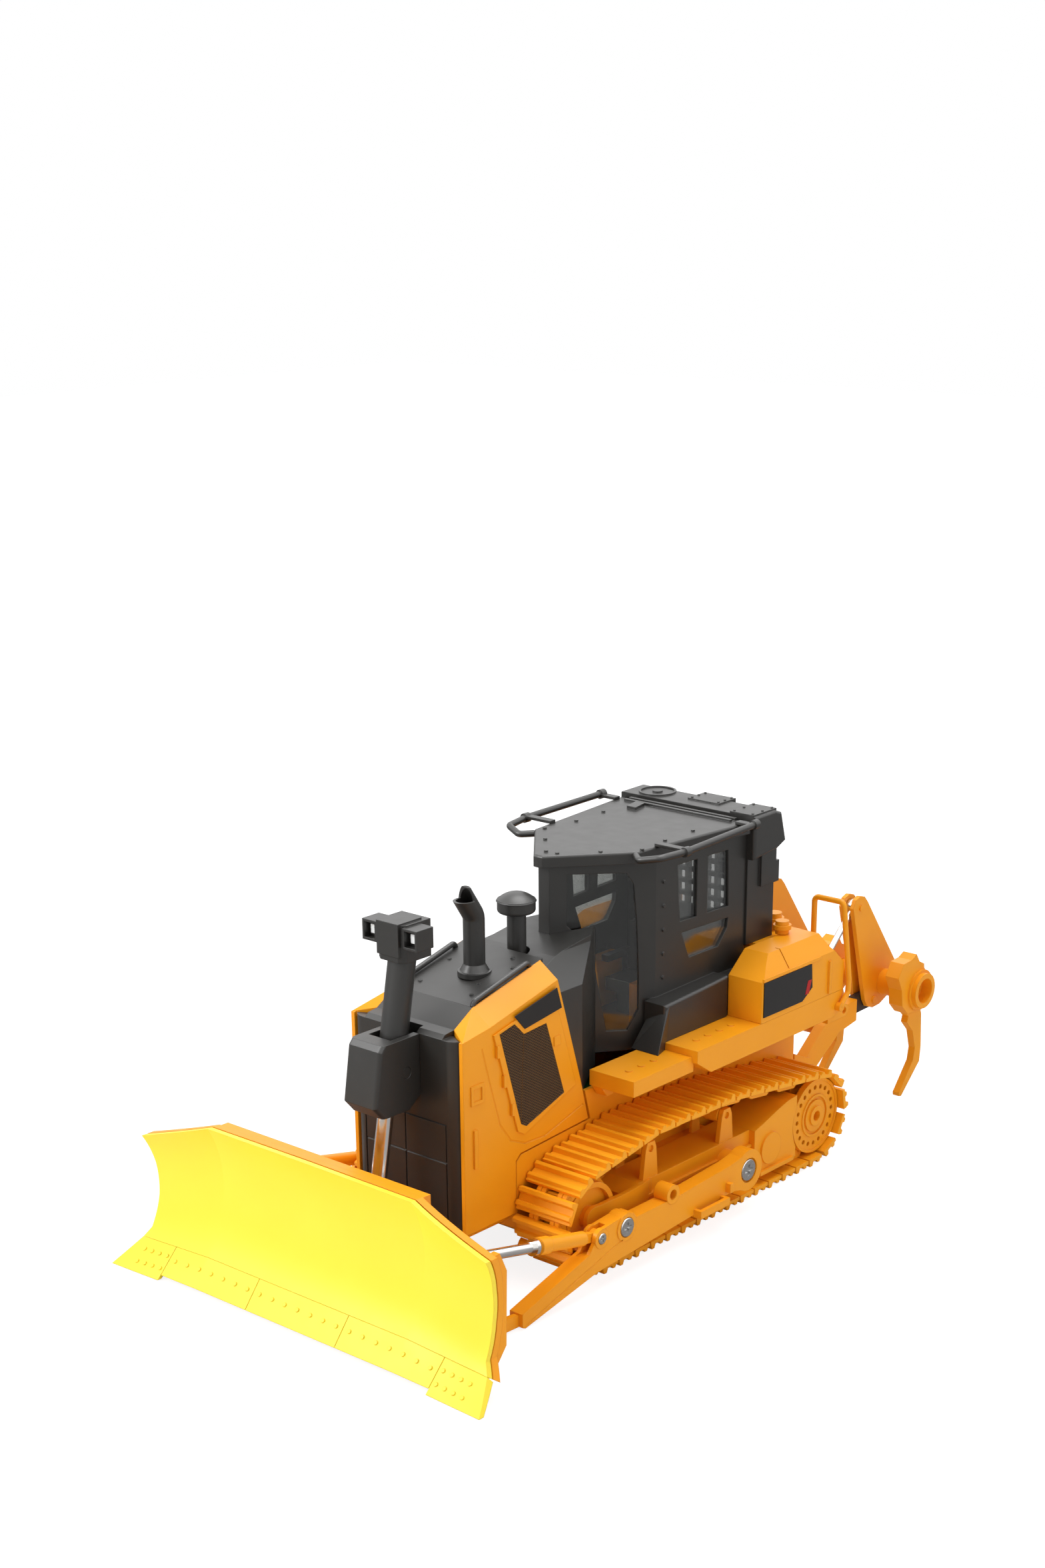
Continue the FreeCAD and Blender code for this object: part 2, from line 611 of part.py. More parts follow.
def hood_chamfers():
    """The sloped strips between the ridge and the hood's top edge, left side."""
    outer_f = V(HOOD_X, RIDGE_FRONT[0], RIDGE_FRONT[1])
    outer_r = V(HOOD_X, RIDGE_REAR[0], RIDGE_REAR[1])
    inner_f = V(HOOD_TOP_X, RIDGE_FRONT[0], TOP_FRONT_Z)
    inner_r = V(HOOD_TOP_X, RIDGE_REAR[0], TOP_REAR_Z)
    nose_o = V(HOOD_X, HOOD_FRONT, NOSE_Z)
    nose_i = V(HOOD_TOP_X, TOP_NOSE[0], TOP_NOSE[1])
    drop = WALL * 1.3
    strip = [hang(t, drop) for t in ((outer_f, outer_r, inner_r), (outer_f, inner_r, inner_f))]
    brow = [hang(t, drop) for t in ((nose_o, outer_f, inner_f), (nose_o, inner_f, nose_i))]
    return strip + brow


def build_hood():
    side = prism_x(hood_outline(), HOOD_X - WALL, HOOD_X)
    left = fuse([side, *hood_chamfers()])
    # Seam line of the bonnet, swept down and back as a shallow groove
    curve = [
        (-96.6, 88.0), (-92.6, 73.5), (-88.0, 58.0), (-82.6, 50.6), (-75.0, 47.2), (-64.6, 46.8),
        (-43.8, 52.4),
    ]
    for (y0, z0), (y1, z1) in zip(curve, curve[1:]):
        left = left.cut(rod((HOOD_X + 0.12, y0, z0), (HOOD_X + 0.12, y1, z1), 0.38))
    latch = box(HOOD_X - 0.3, HOOD_X + 0.5, -102.6, -96.0, 69.0, 76.0)
    latch = latch.cut(box(HOOD_X - 0.3, HOOD_X + 0.5, -101.4, -97.2, 70.2, 74.8))
    bar = box(HOOD_X - 0.3, HOOD_X + 0.7, -101.6, -99.8, 46.0, 60.0)
    left = fuse([left, latch, bar])
    low = HOOD_TAIL[1]
    bulkhead = [(-66.0, low), (-66.0, 95.0), (-64.0, 95.5), (-64.0, low)]
    bulk = prism_x(bulkhead, -HOOD_X + WALL / 2, HOOD_X - WALL / 2)
    shell = fuse([left, mirror(left), bulk])
    save("hood_shell", shell)


def build_radiator():
    """Black front shell: rounded upright corners and a sloped brow up to the hood's top panel."""
    front = HOOD_FRONT - 1.4
    half = HOOD_X - WALL - SEAT
    shell = box(-half, half, front, HOOD_FRONT + 4.0, HOOD_BASE + 0.5, NOSE_Z)
    shell = soften(shell, 4.6, lambda e: upright(e) and e.CenterOfMass.y < front + 0.1)
    brow = prism_x([
        (front, NOSE_Z), (front + 1.6, NOSE_Z + 1.4), (TOP_NOSE[0], TOP_NOSE[1]),
        (RIDGE_FRONT[0], TOP_FRONT_Z),
        (RIDGE_FRONT[0], TOP_FRONT_Z - 2.2), (HOOD_FRONT + 4.0, NOSE_Z - 3.0), (front, NOSE_Z - 3.0),
    ], -HOOD_TOP_X + SEAT, HOOD_TOP_X - SEAT)
    # Room under the hood's sloped brow
    under = prism_z([
        (HOOD_TOP_X - SEAT, TOP_NOSE[0] - 0.4), (HOOD_X, HOOD_FRONT - 0.4), (HOOD_X, HOOD_FRONT + 6),
        (HOOD_TOP_X - SEAT, HOOD_FRONT + 6),
    ], NOSE_Z - WALL * 1.3 - 0.3, NOSE_Z + 10)
    shell = fuse([shell.cut(under).cut(mirror(under)), brow])
    hollow = box(-half + WALL, half - WALL, HOOD_FRONT + 0.6, HOOD_FRONT + 5.0, HOOD_BASE + 2, NOSE_Z - 4)
    shell = shell.cut(hollow)
    # Door panel lines and the grille's raised frame
    for x in (-19.0, 0.0, 19.0):
        shell = shell.cut(box(x - 0.3, x + 0.3, front - 1, front + 0.4, HOOD_BASE + 3, 62.0))
    for z in (HOOD_BASE + 3, 48.0, 62.0):
        shell = shell.cut(box(-19.3, 19.3, front - 1, front + 0.4, z - 0.3, z + 0.3))
    # Room behind the lift tube, which leans back as the blade rises
    pocket = box(-TUBE_R - 1.6, TUBE_R + 1.6, front - 1, front + 3.4, 78.0, NOSE_Z + 9)
    shell = shell.cut(pocket)
    save("radiator_shell", shell)


def top_z(y):
    slope = (TOP_REAR_Z - TOP_FRONT_Z) / (RIDGE_REAR[0] - RIDGE_FRONT[0])
    return TOP_FRONT_Z + (y - RIDGE_FRONT[0]) * slope


def build_hood_top():
    y0, y1 = RIDGE_FRONT[0] + SEAT, RIDGE_REAR[0] + 1.4
    panel = prism_x([(y0, top_z(y0) - 2), (y0, top_z(y0)), (y1, top_z(y1)), (y1, top_z(y1) - 2)],
                    -HOOD_TOP_X + SEAT, HOOD_TOP_X - SEAT)
    exhaust_y = -73.4
    cleaner_x, cleaner_y = CLEANER
    for y, x in ((-86, -12), (-86, 12), (-70, -13), (-66, 13), (-79, 9), (-60.5, -8), (-60.5, 8)):
        panel = panel.fuse(drum("z", 0.8, top_z(y) - 0.6, top_z(y) + 0.35, x, y))
    panel = panel.removeSplitter()
    save("hood_top", panel)

    rails = []
    for side in (-1, 1):
        x = side * (HOOD_TOP_X - 0.8)
        front_y, rear_y = -91.4, -62.0
        lift = 1.4
        rails.append(bent_rod([
            (x, front_y, top_z(front_y) - 1.0), (x, front_y + 1.0, top_z(front_y) + lift),
            (x, rear_y - 1.0, top_z(rear_y) + lift), (x, rear_y, top_z(rear_y) - 1.0),
        ], 1.0, 1.4))
    under = [(y0 - 5, 80), (y0 - 5, top_z(y0 - 5) + SEAT), (y1 + 5, top_z(y1 + 5) + SEAT), (y1 + 5, 80)]
    deck = prism_x(under, -HOOD_X, HOOD_X)
    save("hood_rails", *[r.cut(deck) for r in rails])

    base_z = top_z(exhaust_y)
    flare = Part.makeCone(5.6, 3.8, 3.2, V(2.0, exhaust_y, base_z + 0.1), V(0, 0, 1))
    foot = drum("z", 6.0, base_z - 1.0, base_z + 0.9, 2.0, exhaust_y)
    bend = (2.0, exhaust_y, 124.5)
    pipe = bent_rod([(2.0, exhaust_y, base_z + 1.0), bend, (2.0, exhaust_y - 6.0, 133.4)], 3.8, 5.0)
    bore = bent_rod([(2.0, exhaust_y, base_z + 14.0), bend, (2.0, exhaust_y - 7.2, 135.2)], 2.9, 5.0)
    mouth = box(-8, 12, exhaust_y - 20, exhaust_y - 3.4, 130.8, 140)
    stack = fuse([foot, flare, pipe]).cut(bore).cut(mouth)
    y0, y1 = exhaust_y - 9, exhaust_y + 9
    below = [(y0, base_z - 4), (y0, top_z(y0) + 0.02), (y1, top_z(y1) + 0.02), (y1, base_z - 4)]
    pad = prism_x(below, -10, 14)
    save("exhaust_stack", stack.cut(pad))

    z0 = 100.5
    x, y = cleaner_x, cleaner_y
    tube = drum("z", 3.4, z0, CLEANER_Z - 7.0, x, y)
    collar = drum("z", CLEANER_FOOT_R, z0, z0 + 2.0, x, y)
    bowl = drum("z", 6.8, CLEANER_Z - 7.4, CLEANER_Z - 2.6, x, y)
    bowl = soften(bowl, 1.2, lambda e: abs(e.CenterOfMass.z - (CLEANER_Z - 7.4)) < 0.1)
    dome = Part.makeSphere(9.6, V(x, y, CLEANER_Z - 9.6))
    dome = dome.common(drum("z", 7.4, CLEANER_Z - 3.2, CLEANER_Z + 1, x, y))
    save("precleaner", fuse([tube, collar, bowl, dome]))


def build_hood_details():
    # Engine doors: a raised border round the mesh with hinges and a latch, and the mesh behind it
    mesh = [
        (-88.4, 91.0), (-80.8, 92.6), (-76.0, 87.8), (-64.4, 88.6), (-55.1, 60.4), (-75.2, 53.9),
        (-77.9, 55.4),
    ]
    door = [(-91.2, 91.2), (-79.6, 93.8), (-60.0, 98.4), (-48.6, 61.6), (-76.0, 51.0), (-79.4, 53.0)]
    doors, grilles = [], []
    for side in (-1, 1):
        x0, x1 = sorted((side * (HOOD_X + SEAT), side * (HOOD_X + 0.75)))
        leaf = prism_x(door, x0, x1).cut(prism_x(mesh, x0 - 1, x1 + 1))
        a, b = sorted((side * (HOOD_X + SEAT), side * (HOOD_X + 1.2)))
        latch = box(a, b, -60.6, -57.2, 79.0, 82.4)
        hinges = []
        for y, z in ((-89.8, 85.0), (-86.6, 73.5), (-82.6, 62.0)):
            hinges.append(box(a, b, y - 0.2, y + 1.4, z - 2.2, z + 2.2))
        doors.append(fuse([leaf, latch, *hinges]))
        a, b = sorted((side * (HOOD_X + SEAT), side * (HOOD_X + 0.45)))
        grilles.append(prism_x(mesh, a, b))
    save("engine_doors", *doors)
    save("mesh_grilles", *grilles)


def build_nose_block():
    y, z = TRUNNION
    block = prism_x([
        (-125.4, 66.5), (-129.4, 71.0), (-126.2, 90.4), (-124.6, 92.2), (-107.5, 92.2),
        (-107.5, 70.5), (-113.0, 66.5),
    ], -7.6, 7.6)
    block = soften(block, 1.4, lambda e: e.CenterOfMass.y < -125 and abs(e.CenterOfMass.x) > 7)
    # Slot for the tube, leaning with it, and the trunnion's bore
    lean = math.degrees(math.atan2(CLEVIS[0] - TRUNNION[0], TRUNNION[1] - CLEVIS[1]))
    slot = box(-TUBE_R - SIDE, TUBE_R + SIDE, y - TUBE_R - 2.2, y + TUBE_R + 7.5, z - 40, z + 40)
    slot.rotate(V(0, y, z), V(1, 0, 0), lean)
    block = block.cut(slot).cut(drum("x", 2.0 + RUN, -8, 8, y, z))
    save("nose_block", block)

    axis = V(0, TRUNNION[0] - CLEVIS[0], TRUNNION[1] - CLEVIS[1]).normalize()
    top = V(0, y, z) + axis * 44.0
    below = 12.5
    low = V(0, y, z) - axis * below
    tube = Part.makeCylinder(TUBE_R, below + 42.0, low, axis)
    pin = drum("x", 2.0, -7.5, 7.5, y, z)
    bore = Part.makeCylinder(LIFT_ROD_R + RUN, below + 40.0, low - axis * 1, axis)
    cap = Part.makeCylinder(TUBE_R - 0.8, 1.4, low - axis * 1.4, axis)
    cap = cap.cut(Part.makeCylinder(LIFT_ROD_R + RUN, 6.0, low - axis * 3, axis))
    head_y = top.y - 0.6
    head = prism_z(both([
        (0, head_y + 6.6), (6.6, head_y + 6.6), (6.6, head_y - 4.8), (4.0, head_y - 6.8), (0, head_y - 6.8),
    ]), HEAD_Z, HEAD_Z + 13.0)
    crown = box(-5.0, 5.0, head_y - 7.4, head_y + 4.0, HEAD_Z + 2.0, HEAD_Z + 13.6)
    lamps = []
    for side in (-1, 1):
        a, b = sorted((side * LAMP_X[0], side * LAMP_X[1]))
        case = box(a, b, head_y - 6.4, head_y + 1.6, LAMP_Z[0], LAMP_Z[1])
        window = box(a + 0.9, b - 0.9, head_y - 7, head_y - 2.6, LAMP_Z[0] + 0.9, LAMP_Z[1] - 0.9)
        lamps.append((case, window))
    body = fuse([tube.cut(bore), pin.cut(bore), cap, head, crown, *[c for c, _ in lamps]])
    for _, window in lamps:
        body = body.cut(window)
    save("lift_tube", body)
    lenses = []
    for side in (-1, 1):
        a, b = sorted((side * LAMP_X[0], side * LAMP_X[1]))
        rear_y = head_y - 2.6 - SEAT
        lenses.append(box(a + 1.0, b - 1.0, rear_y - 1.1, rear_y, LAMP_Z[0] + 1.0, LAMP_Z[1] - 1.0))
    save("lamp_lenses", *lenses)

    c = V(0, *CLEVIS)
    shaft = Part.makeCylinder(LIFT_ROD_R, 64.5, c + axis * 2.0, axis)
    eye = drum("x", 3.6, -2.6, 2.6, *CLEVIS)
    rod_body = fuse([shaft, eye]).cut(drum("x", 2.7, -5, 5, *CLEVIS))
    save("lift_rod", rod_body)


def build_cab():
    nose_y = CAB_NOSE_Y
    plan = both([(0, nose_y), (CAB_NOSE_X, nose_y), CAB_CORNER, CAB_REAR, (0, CAB_REAR[1])])
    shell = prism_z(plan, CAB_BASE, CAB_TOP)
    w = CAB_WALL
    inner = both([
        (0, nose_y + w * 1.6), (CAB_NOSE_X - 0.4, nose_y + w * 1.6),
        (CAB_CORNER[0] - w, CAB_CORNER[1] + w * 0.3),
        (CAB_REAR[0] - w, CAB_REAR[1] - w), (0, CAB_REAR[1] - w),
    ])
    shell = shell.cut(prism_z(inner, CAB_BASE + 3.0, CAB_TOP - 2.0))
    # Door windows, cut square to each door
    door_dir = V(CAB_CORNER[0] - CAB_NOSE_X, CAB_CORNER[1] - nose_y, 0)
    ratio = door_dir.y / door_dir.x
    window = [
        (6.2, 129.8), (19.0, 128.8), (20.6, 124.6), (21.4, 110.0), (21.8, 90.0), (21.8, 77.0),
        (19.4, 69.6), (14.8, 70.0), (13.0, 87.0), (11.6, 101.0), (6.2, 111.0),
    ]
    points = [V(x, nose_y + (x - CAB_NOSE_X) * ratio, z) for x, z in window]
    normal = V(door_dir.y, -door_dir.x, 0).normalize()
    face = Part.Face(Part.makePolygon([p - normal * 6 for p in points + points[:1]]))
    door_cut = face.extrude(normal * 9)
    # Side windows
    front_pane = [(9.0, 128.6), (20.0, 128.6), (20.0, 107.0), (10.6, 107.0)]
    rear_pane = [(25.8, 128.6), (37.2, 128.6), (38.0, 107.0), (25.8, 107.0)]
    low_pane = [(11.6, 102.6), (38.0, 102.6), (37.4, 98.6), (32.4, 92.6), (16.0, 92.2)]
    cuts = [prism_x(outline, 20, 32) for outline in (front_pane, rear_pane, low_pane)]
    # Rear window guard: a grid of small openings
    grid = []
    for col in range(-4, 5):
        for row in range(5):
            x, z = col * 4.6, 103.0 + row * 4.8
            grid.append(box(x - 1.4, x + 1.4, CAB_REAR[1] - 4, CAB_REAR[1] + 2, z - 1.6, z + 1.6))
    for cut in (door_cut, *cuts):
        shell = shell.cut(cut).cut(mirror(cut))
    shell = shell.cut(grid)
    # Locker along the lower side, narrower beside the side box, with a flared foot at the door's sill
    locker_z = FENDER_TOP + SEAT
    locker_rear = BOX_FRONT - SIDE
    locker = prism_x([
        (CAB_BOX_FRONT, locker_z), (CAB_BOX_FRONT, CAB_BOX_TOP), (locker_rear, CAB_BOX_TOP + 2.0),
        (locker_rear, locker_z),
    ], CAB_CORNER[0] - 1.0, CAB_BOX_X)
    outer_x = CAB_BOX_X - 0.01
    locker = soften(locker, 1.2, lambda e: e.CenterOfMass.x > outer_x and e.CenterOfMass.z > locker_z + 1)
    narrow = box(CAB_REAR[0] - 1.6, BOX_IN - 0.4, locker_rear - 1, CAB_REAR[1], locker_z, CAB_BOX_TOP + 1.0)
    sill = FENDER_FRONT_TOP + SEAT
    seam_y = CAB_BOX_FRONT + 0.6
    low = [(24.0, -14.2), (CAB_BOX_X + 2.4, -14.4), (CAB_BOX_X, seam_y), (24.0, seam_y)]
    high = [(26.0, -2.6), (CAB_BOX_X - 0.2, -5.6), (CAB_BOX_X, -4.6), (26.0, -1.6)]
    flare = flared(low, high, sill, CAB_BOX_TOP - 0.4)
    flare = flare.cut(box(20, 40, FENDER_STEP_Y - SEAT, 0, 60, locker_z))
    bolts = []
    for z in (88.0, 97.0, 106.0, 115.0, 124.0):
        bolts.append(drum("x", 0.7, CAB_CORNER[0] - 0.6, CAB_CORNER[0] + 0.75, 1.6, z))
    bottom = box(-40, 40, -60, 60, 40, locker_z).cut(box(-25.2, 25.2, -60, 60, 40, 80))
    details = [locker, narrow, flare, *bolts]
    shell = fuse([shell.cut(bottom), *details, *[mirror(d) for d in details]])
    save("cab_shell", shell)

    # Clear panes let into the openings
    clear = []
    pane = Part.Face(Part.makePolygon([p - normal * 1.3 for p in points + points[:1]])).extrude(normal * 0.7)
    clear.append(pane)
    for outline in (front_pane, rear_pane, low_pane):
        strip = prism_x(outline, 24.0, 30.0)
        slab = prism_z([
            (CAB_CORNER[0] - 1.4, CAB_CORNER[1]), (CAB_CORNER[0] - 0.7, CAB_CORNER[1]),
            (CAB_REAR[0] - 0.7, CAB_REAR[1]), (CAB_REAR[0] - 1.4, CAB_REAR[1]),
        ], 80, 132)
        clear.append(strip.common(slab))
    save("cab_panes", *clear, *[mirror(s) for s in clear])

    # Cowl between the hood's rear edge and the doors
    slope = (RIDGE_REAR[0] - HOOD_REAR_LOW[0]) / (RIDGE_REAR[1] - HOOD_REAR_LOW[1])
    plan = both([(0, -62.0), (25.8, -62.0), (25.8, -44.0), (12.4, -21.6), (12.4, -18), (0, -18)])
    body = prism_z(plan, 57.2, 111.0)
    low_y, high_y = [HOOD_REAR_LOW[0] + (z - HOOD_REAR_LOW[1]) * slope + 0.1 for z in (40.0, 120.0)]
    front = prism_x([(-90, 40), (low_y, 40), (high_y, 120), (-90, 120)], -40, 40)
    above = [(RIDGE_REAR[0] - 2, 103.6), (-48.0, 106.4), (-18.0, 110.6), (-18.0, 130), (-90, 130)]
    roof = prism_x(above, -40, 40)
    cab_space = prism_z(both([
        (0, nose_y - SEAT), (CAB_NOSE_X, nose_y - SEAT), (CAB_CORNER[0], CAB_CORNER[1] - SEAT),
        (CAB_CORNER[0], 40), (0, 40),
    ]), 40, 140)
    hollow = prism_z(both([(0, -50.0), (20.0, -46.0), (9.0, -30.0), (0, -38.0)]), 50, 99.0)
    cowl = body.cut(front).cut(roof).cut(cab_space).cut(hollow)
    outer_chamfer = prism_y([(HOOD_X, 97.0), (HOOD_X, 130), (16.0, 130), (16.0, 107.0)], -90, 0)
    cowl = cowl.cut(outer_chamfer).cut(mirror(outer_chamfer))
    cowl = cowl.cut(drum("z", CLEANER_FOOT_R + SEAT, 100.4, 112, *CLEANER))
    save("cowl", cowl)

    seat = fuse([
        box(-8, 8, 10, 27, 74.0, 79.0),
        box(-7.5, 7.5, 24, 29, 78.0, 98.0),
        box(-4, 4, 25, 28.4, 97.0, 104.0),
        box(-5, 5, 13, 24, CAB_BASE + 3 + SEAT, 74.5),
        box(-11.6, -8.6, 12, 25, 84, 86.5), box(8.6, 11.6, 12, 25, 84, 86.5),
        box(-11.6, 11.6, 24.6, 27.0, 83.5, 86.5),
    ])
    save("seat", seat)
    console = fuse([
        prism_x([(-21.5, 65.05), (-21.5, 88), (-19, 97), (-15, 97), (-13, 86), (-13, 65.05)], -7.5, 7.5),
        box(-18.5, -13, -2, 26, CAB_BASE + 3 + SEAT, 84), box(13, 18.5, -2, 26, CAB_BASE + 3 + SEAT, 84),
        drum("z", 1.0, 83, 94, -15.6, 2), Part.makeSphere(1.8, V(-15.6, 2, 94.6)),
        drum("z", 1.0, 83, 94, 15.6, 2), Part.makeSphere(1.8, V(15.6, 2, 94.6)),
    ])
    save("console", console)


def build_roof():
    plan = both([(0, -37.8), (2.0, -37.6), (24.6, -11.0), (30.6, 46.4), (0, 46.4)])
    roof = prism_z(plan, CAB_TOP, ROOF_Z)
    roof = soften(roof, 1.0, lambda e: abs(e.CenterOfMass.z - ROOF_Z) < 0.01)
    bolts = [
        (-21.7, -8.6), (-11.6, -20.1), (-0.7, -32.3), (4.2, -32.0), (14.6, -20.7), (24.0, -9.1),
        (-19.5, 6.6), (-20.3, 23.3), (22.7, 5.7), (22.2, 22.7),
    ]
    caps = [drum("z", 0.75, ROOF_Z - 0.5, ROOF_Z + 0.6, x, y) for x, y in bolts]
    plaque = prism_z([(-16.9, 33.0), (-12.5, 32.8), (-14.2, 40.2), (-18.4, 40.4)], ROOF_Z - 0.3, ROOF_Z + 1.2)
    ribs = [box(-25.0, 25.0, y, y + 1.2, ROOF_Z - 0.3, ROOF_Z + 0.9) for y in (41.4, 44.4)]
    save("cab_roof", fuse([roof, *caps, plaque, *ribs]))

    rails = []
    roof_cut = prism_z(plan, ROOF_Z - 5, ROOF_Z + SEAT)
    for side in (-1, 1):
        rail = bent_rod([
            (side * 36.2, 43.4, ROOF_Z + 1.1), (side * 37.4, -1.0, ROOF_Z),
            (side * 35.3, -12.9, ROOF_Z - 0.3),
            (side * 28.0, -15.8, ROOF_Z - 1.7), (side * 22.5, -11.2, ROOF_Z - 1.3),
        ], 1.25, 2.2)
        parts = [rail]
        for x, y, z, edge in ((36.2, 41.5, ROOF_Z + 1.0, 28.4), (37.4, -1.0, ROOF_Z, 24.4)):
            a, b = sorted((side * edge, side * x))
            parts.append(box(a, b, y - 1.5, y + 1.5, ROOF_Z + SEAT, ROOF_Z + 1.1))
            parts.append(drum("y", 1.8, y - 1.3, y + 1.3, side * x, z))
        rails.append(fuse(parts).cut(roof_cut))
    save("roof_rails", *rails)

    # Air-conditioner box behind the roof with hatches and a fan ring, on two posts, and a duct box
    rear = CAB_REAR[1] + SEAT
    lid = ROOF_Z + 1.6
    case = prism_x([
        (rear, AC_LOW), (rear, lid), (rear + 13.0, lid + 0.2), (rear + 17.0, lid - 1.2),
        (rear + AC_REAR, AC_LOW + 3.8), (rear + 15.0, AC_LOW + 1.6), (rear + 7.8, AC_LOW + 0.8),
    ], -AC_X, AC_X)
    case = soften(case, 1.2, lambda e: not across(e) and abs(e.CenterOfMass.x) > AC_X - 0.1)
    parts = [case, box(9.0, AC_X - 2.0, rear + 7.5, rear + 18.7, AC_LOW - 11.9, AC_LOW - 3.7)]
    parts.append(box(POST_X[0], AC_X - 2.0, rear + 7.5, rear + POST_DEPTH, AC_LOW - 4.0, AC_LOW + 2.0))
    for side in (-1, 1):
        a, b = sorted((side * POST_X[0], side * POST_X[1]))
        parts.append(box(a, b, rear, rear + POST_DEPTH, BOX_RIDGE_Z - 1.6 + SEAT, AC_LOW + 1.2))
    for x0, x1, y0, y1 in ((-4.0, 10.7, rear + 6.0, rear + 16.6), (20.2, AC_X - 1.0, rear, rear + 14.4)):
        parts.append(box(x0, x1, y0, y1, lid - 1.6, lid + 0.7))
        for x in (x0 + 1.2, x1 - 1.2):
            for y in (y0 + 1.2, (y0 + y1) / 2, y1 - 1.2):
                parts.append(drum("z", 0.5, lid, lid + 1.1, x, y))
    fan_x, fan_y = -19.9, rear + 7.8
    ring = drum("z", 7.2, lid - 0.4, lid + 0.7, fan_x, fan_y)
    parts.append(ring.cut(drum("z", 6.4, lid - 0.4, lid + 1, fan_x, fan_y)))
    parts.append(drum("z", 2.0, lid - 0.4, lid + 0.7, fan_x, fan_y))
    save("ac_box", fuse(parts))


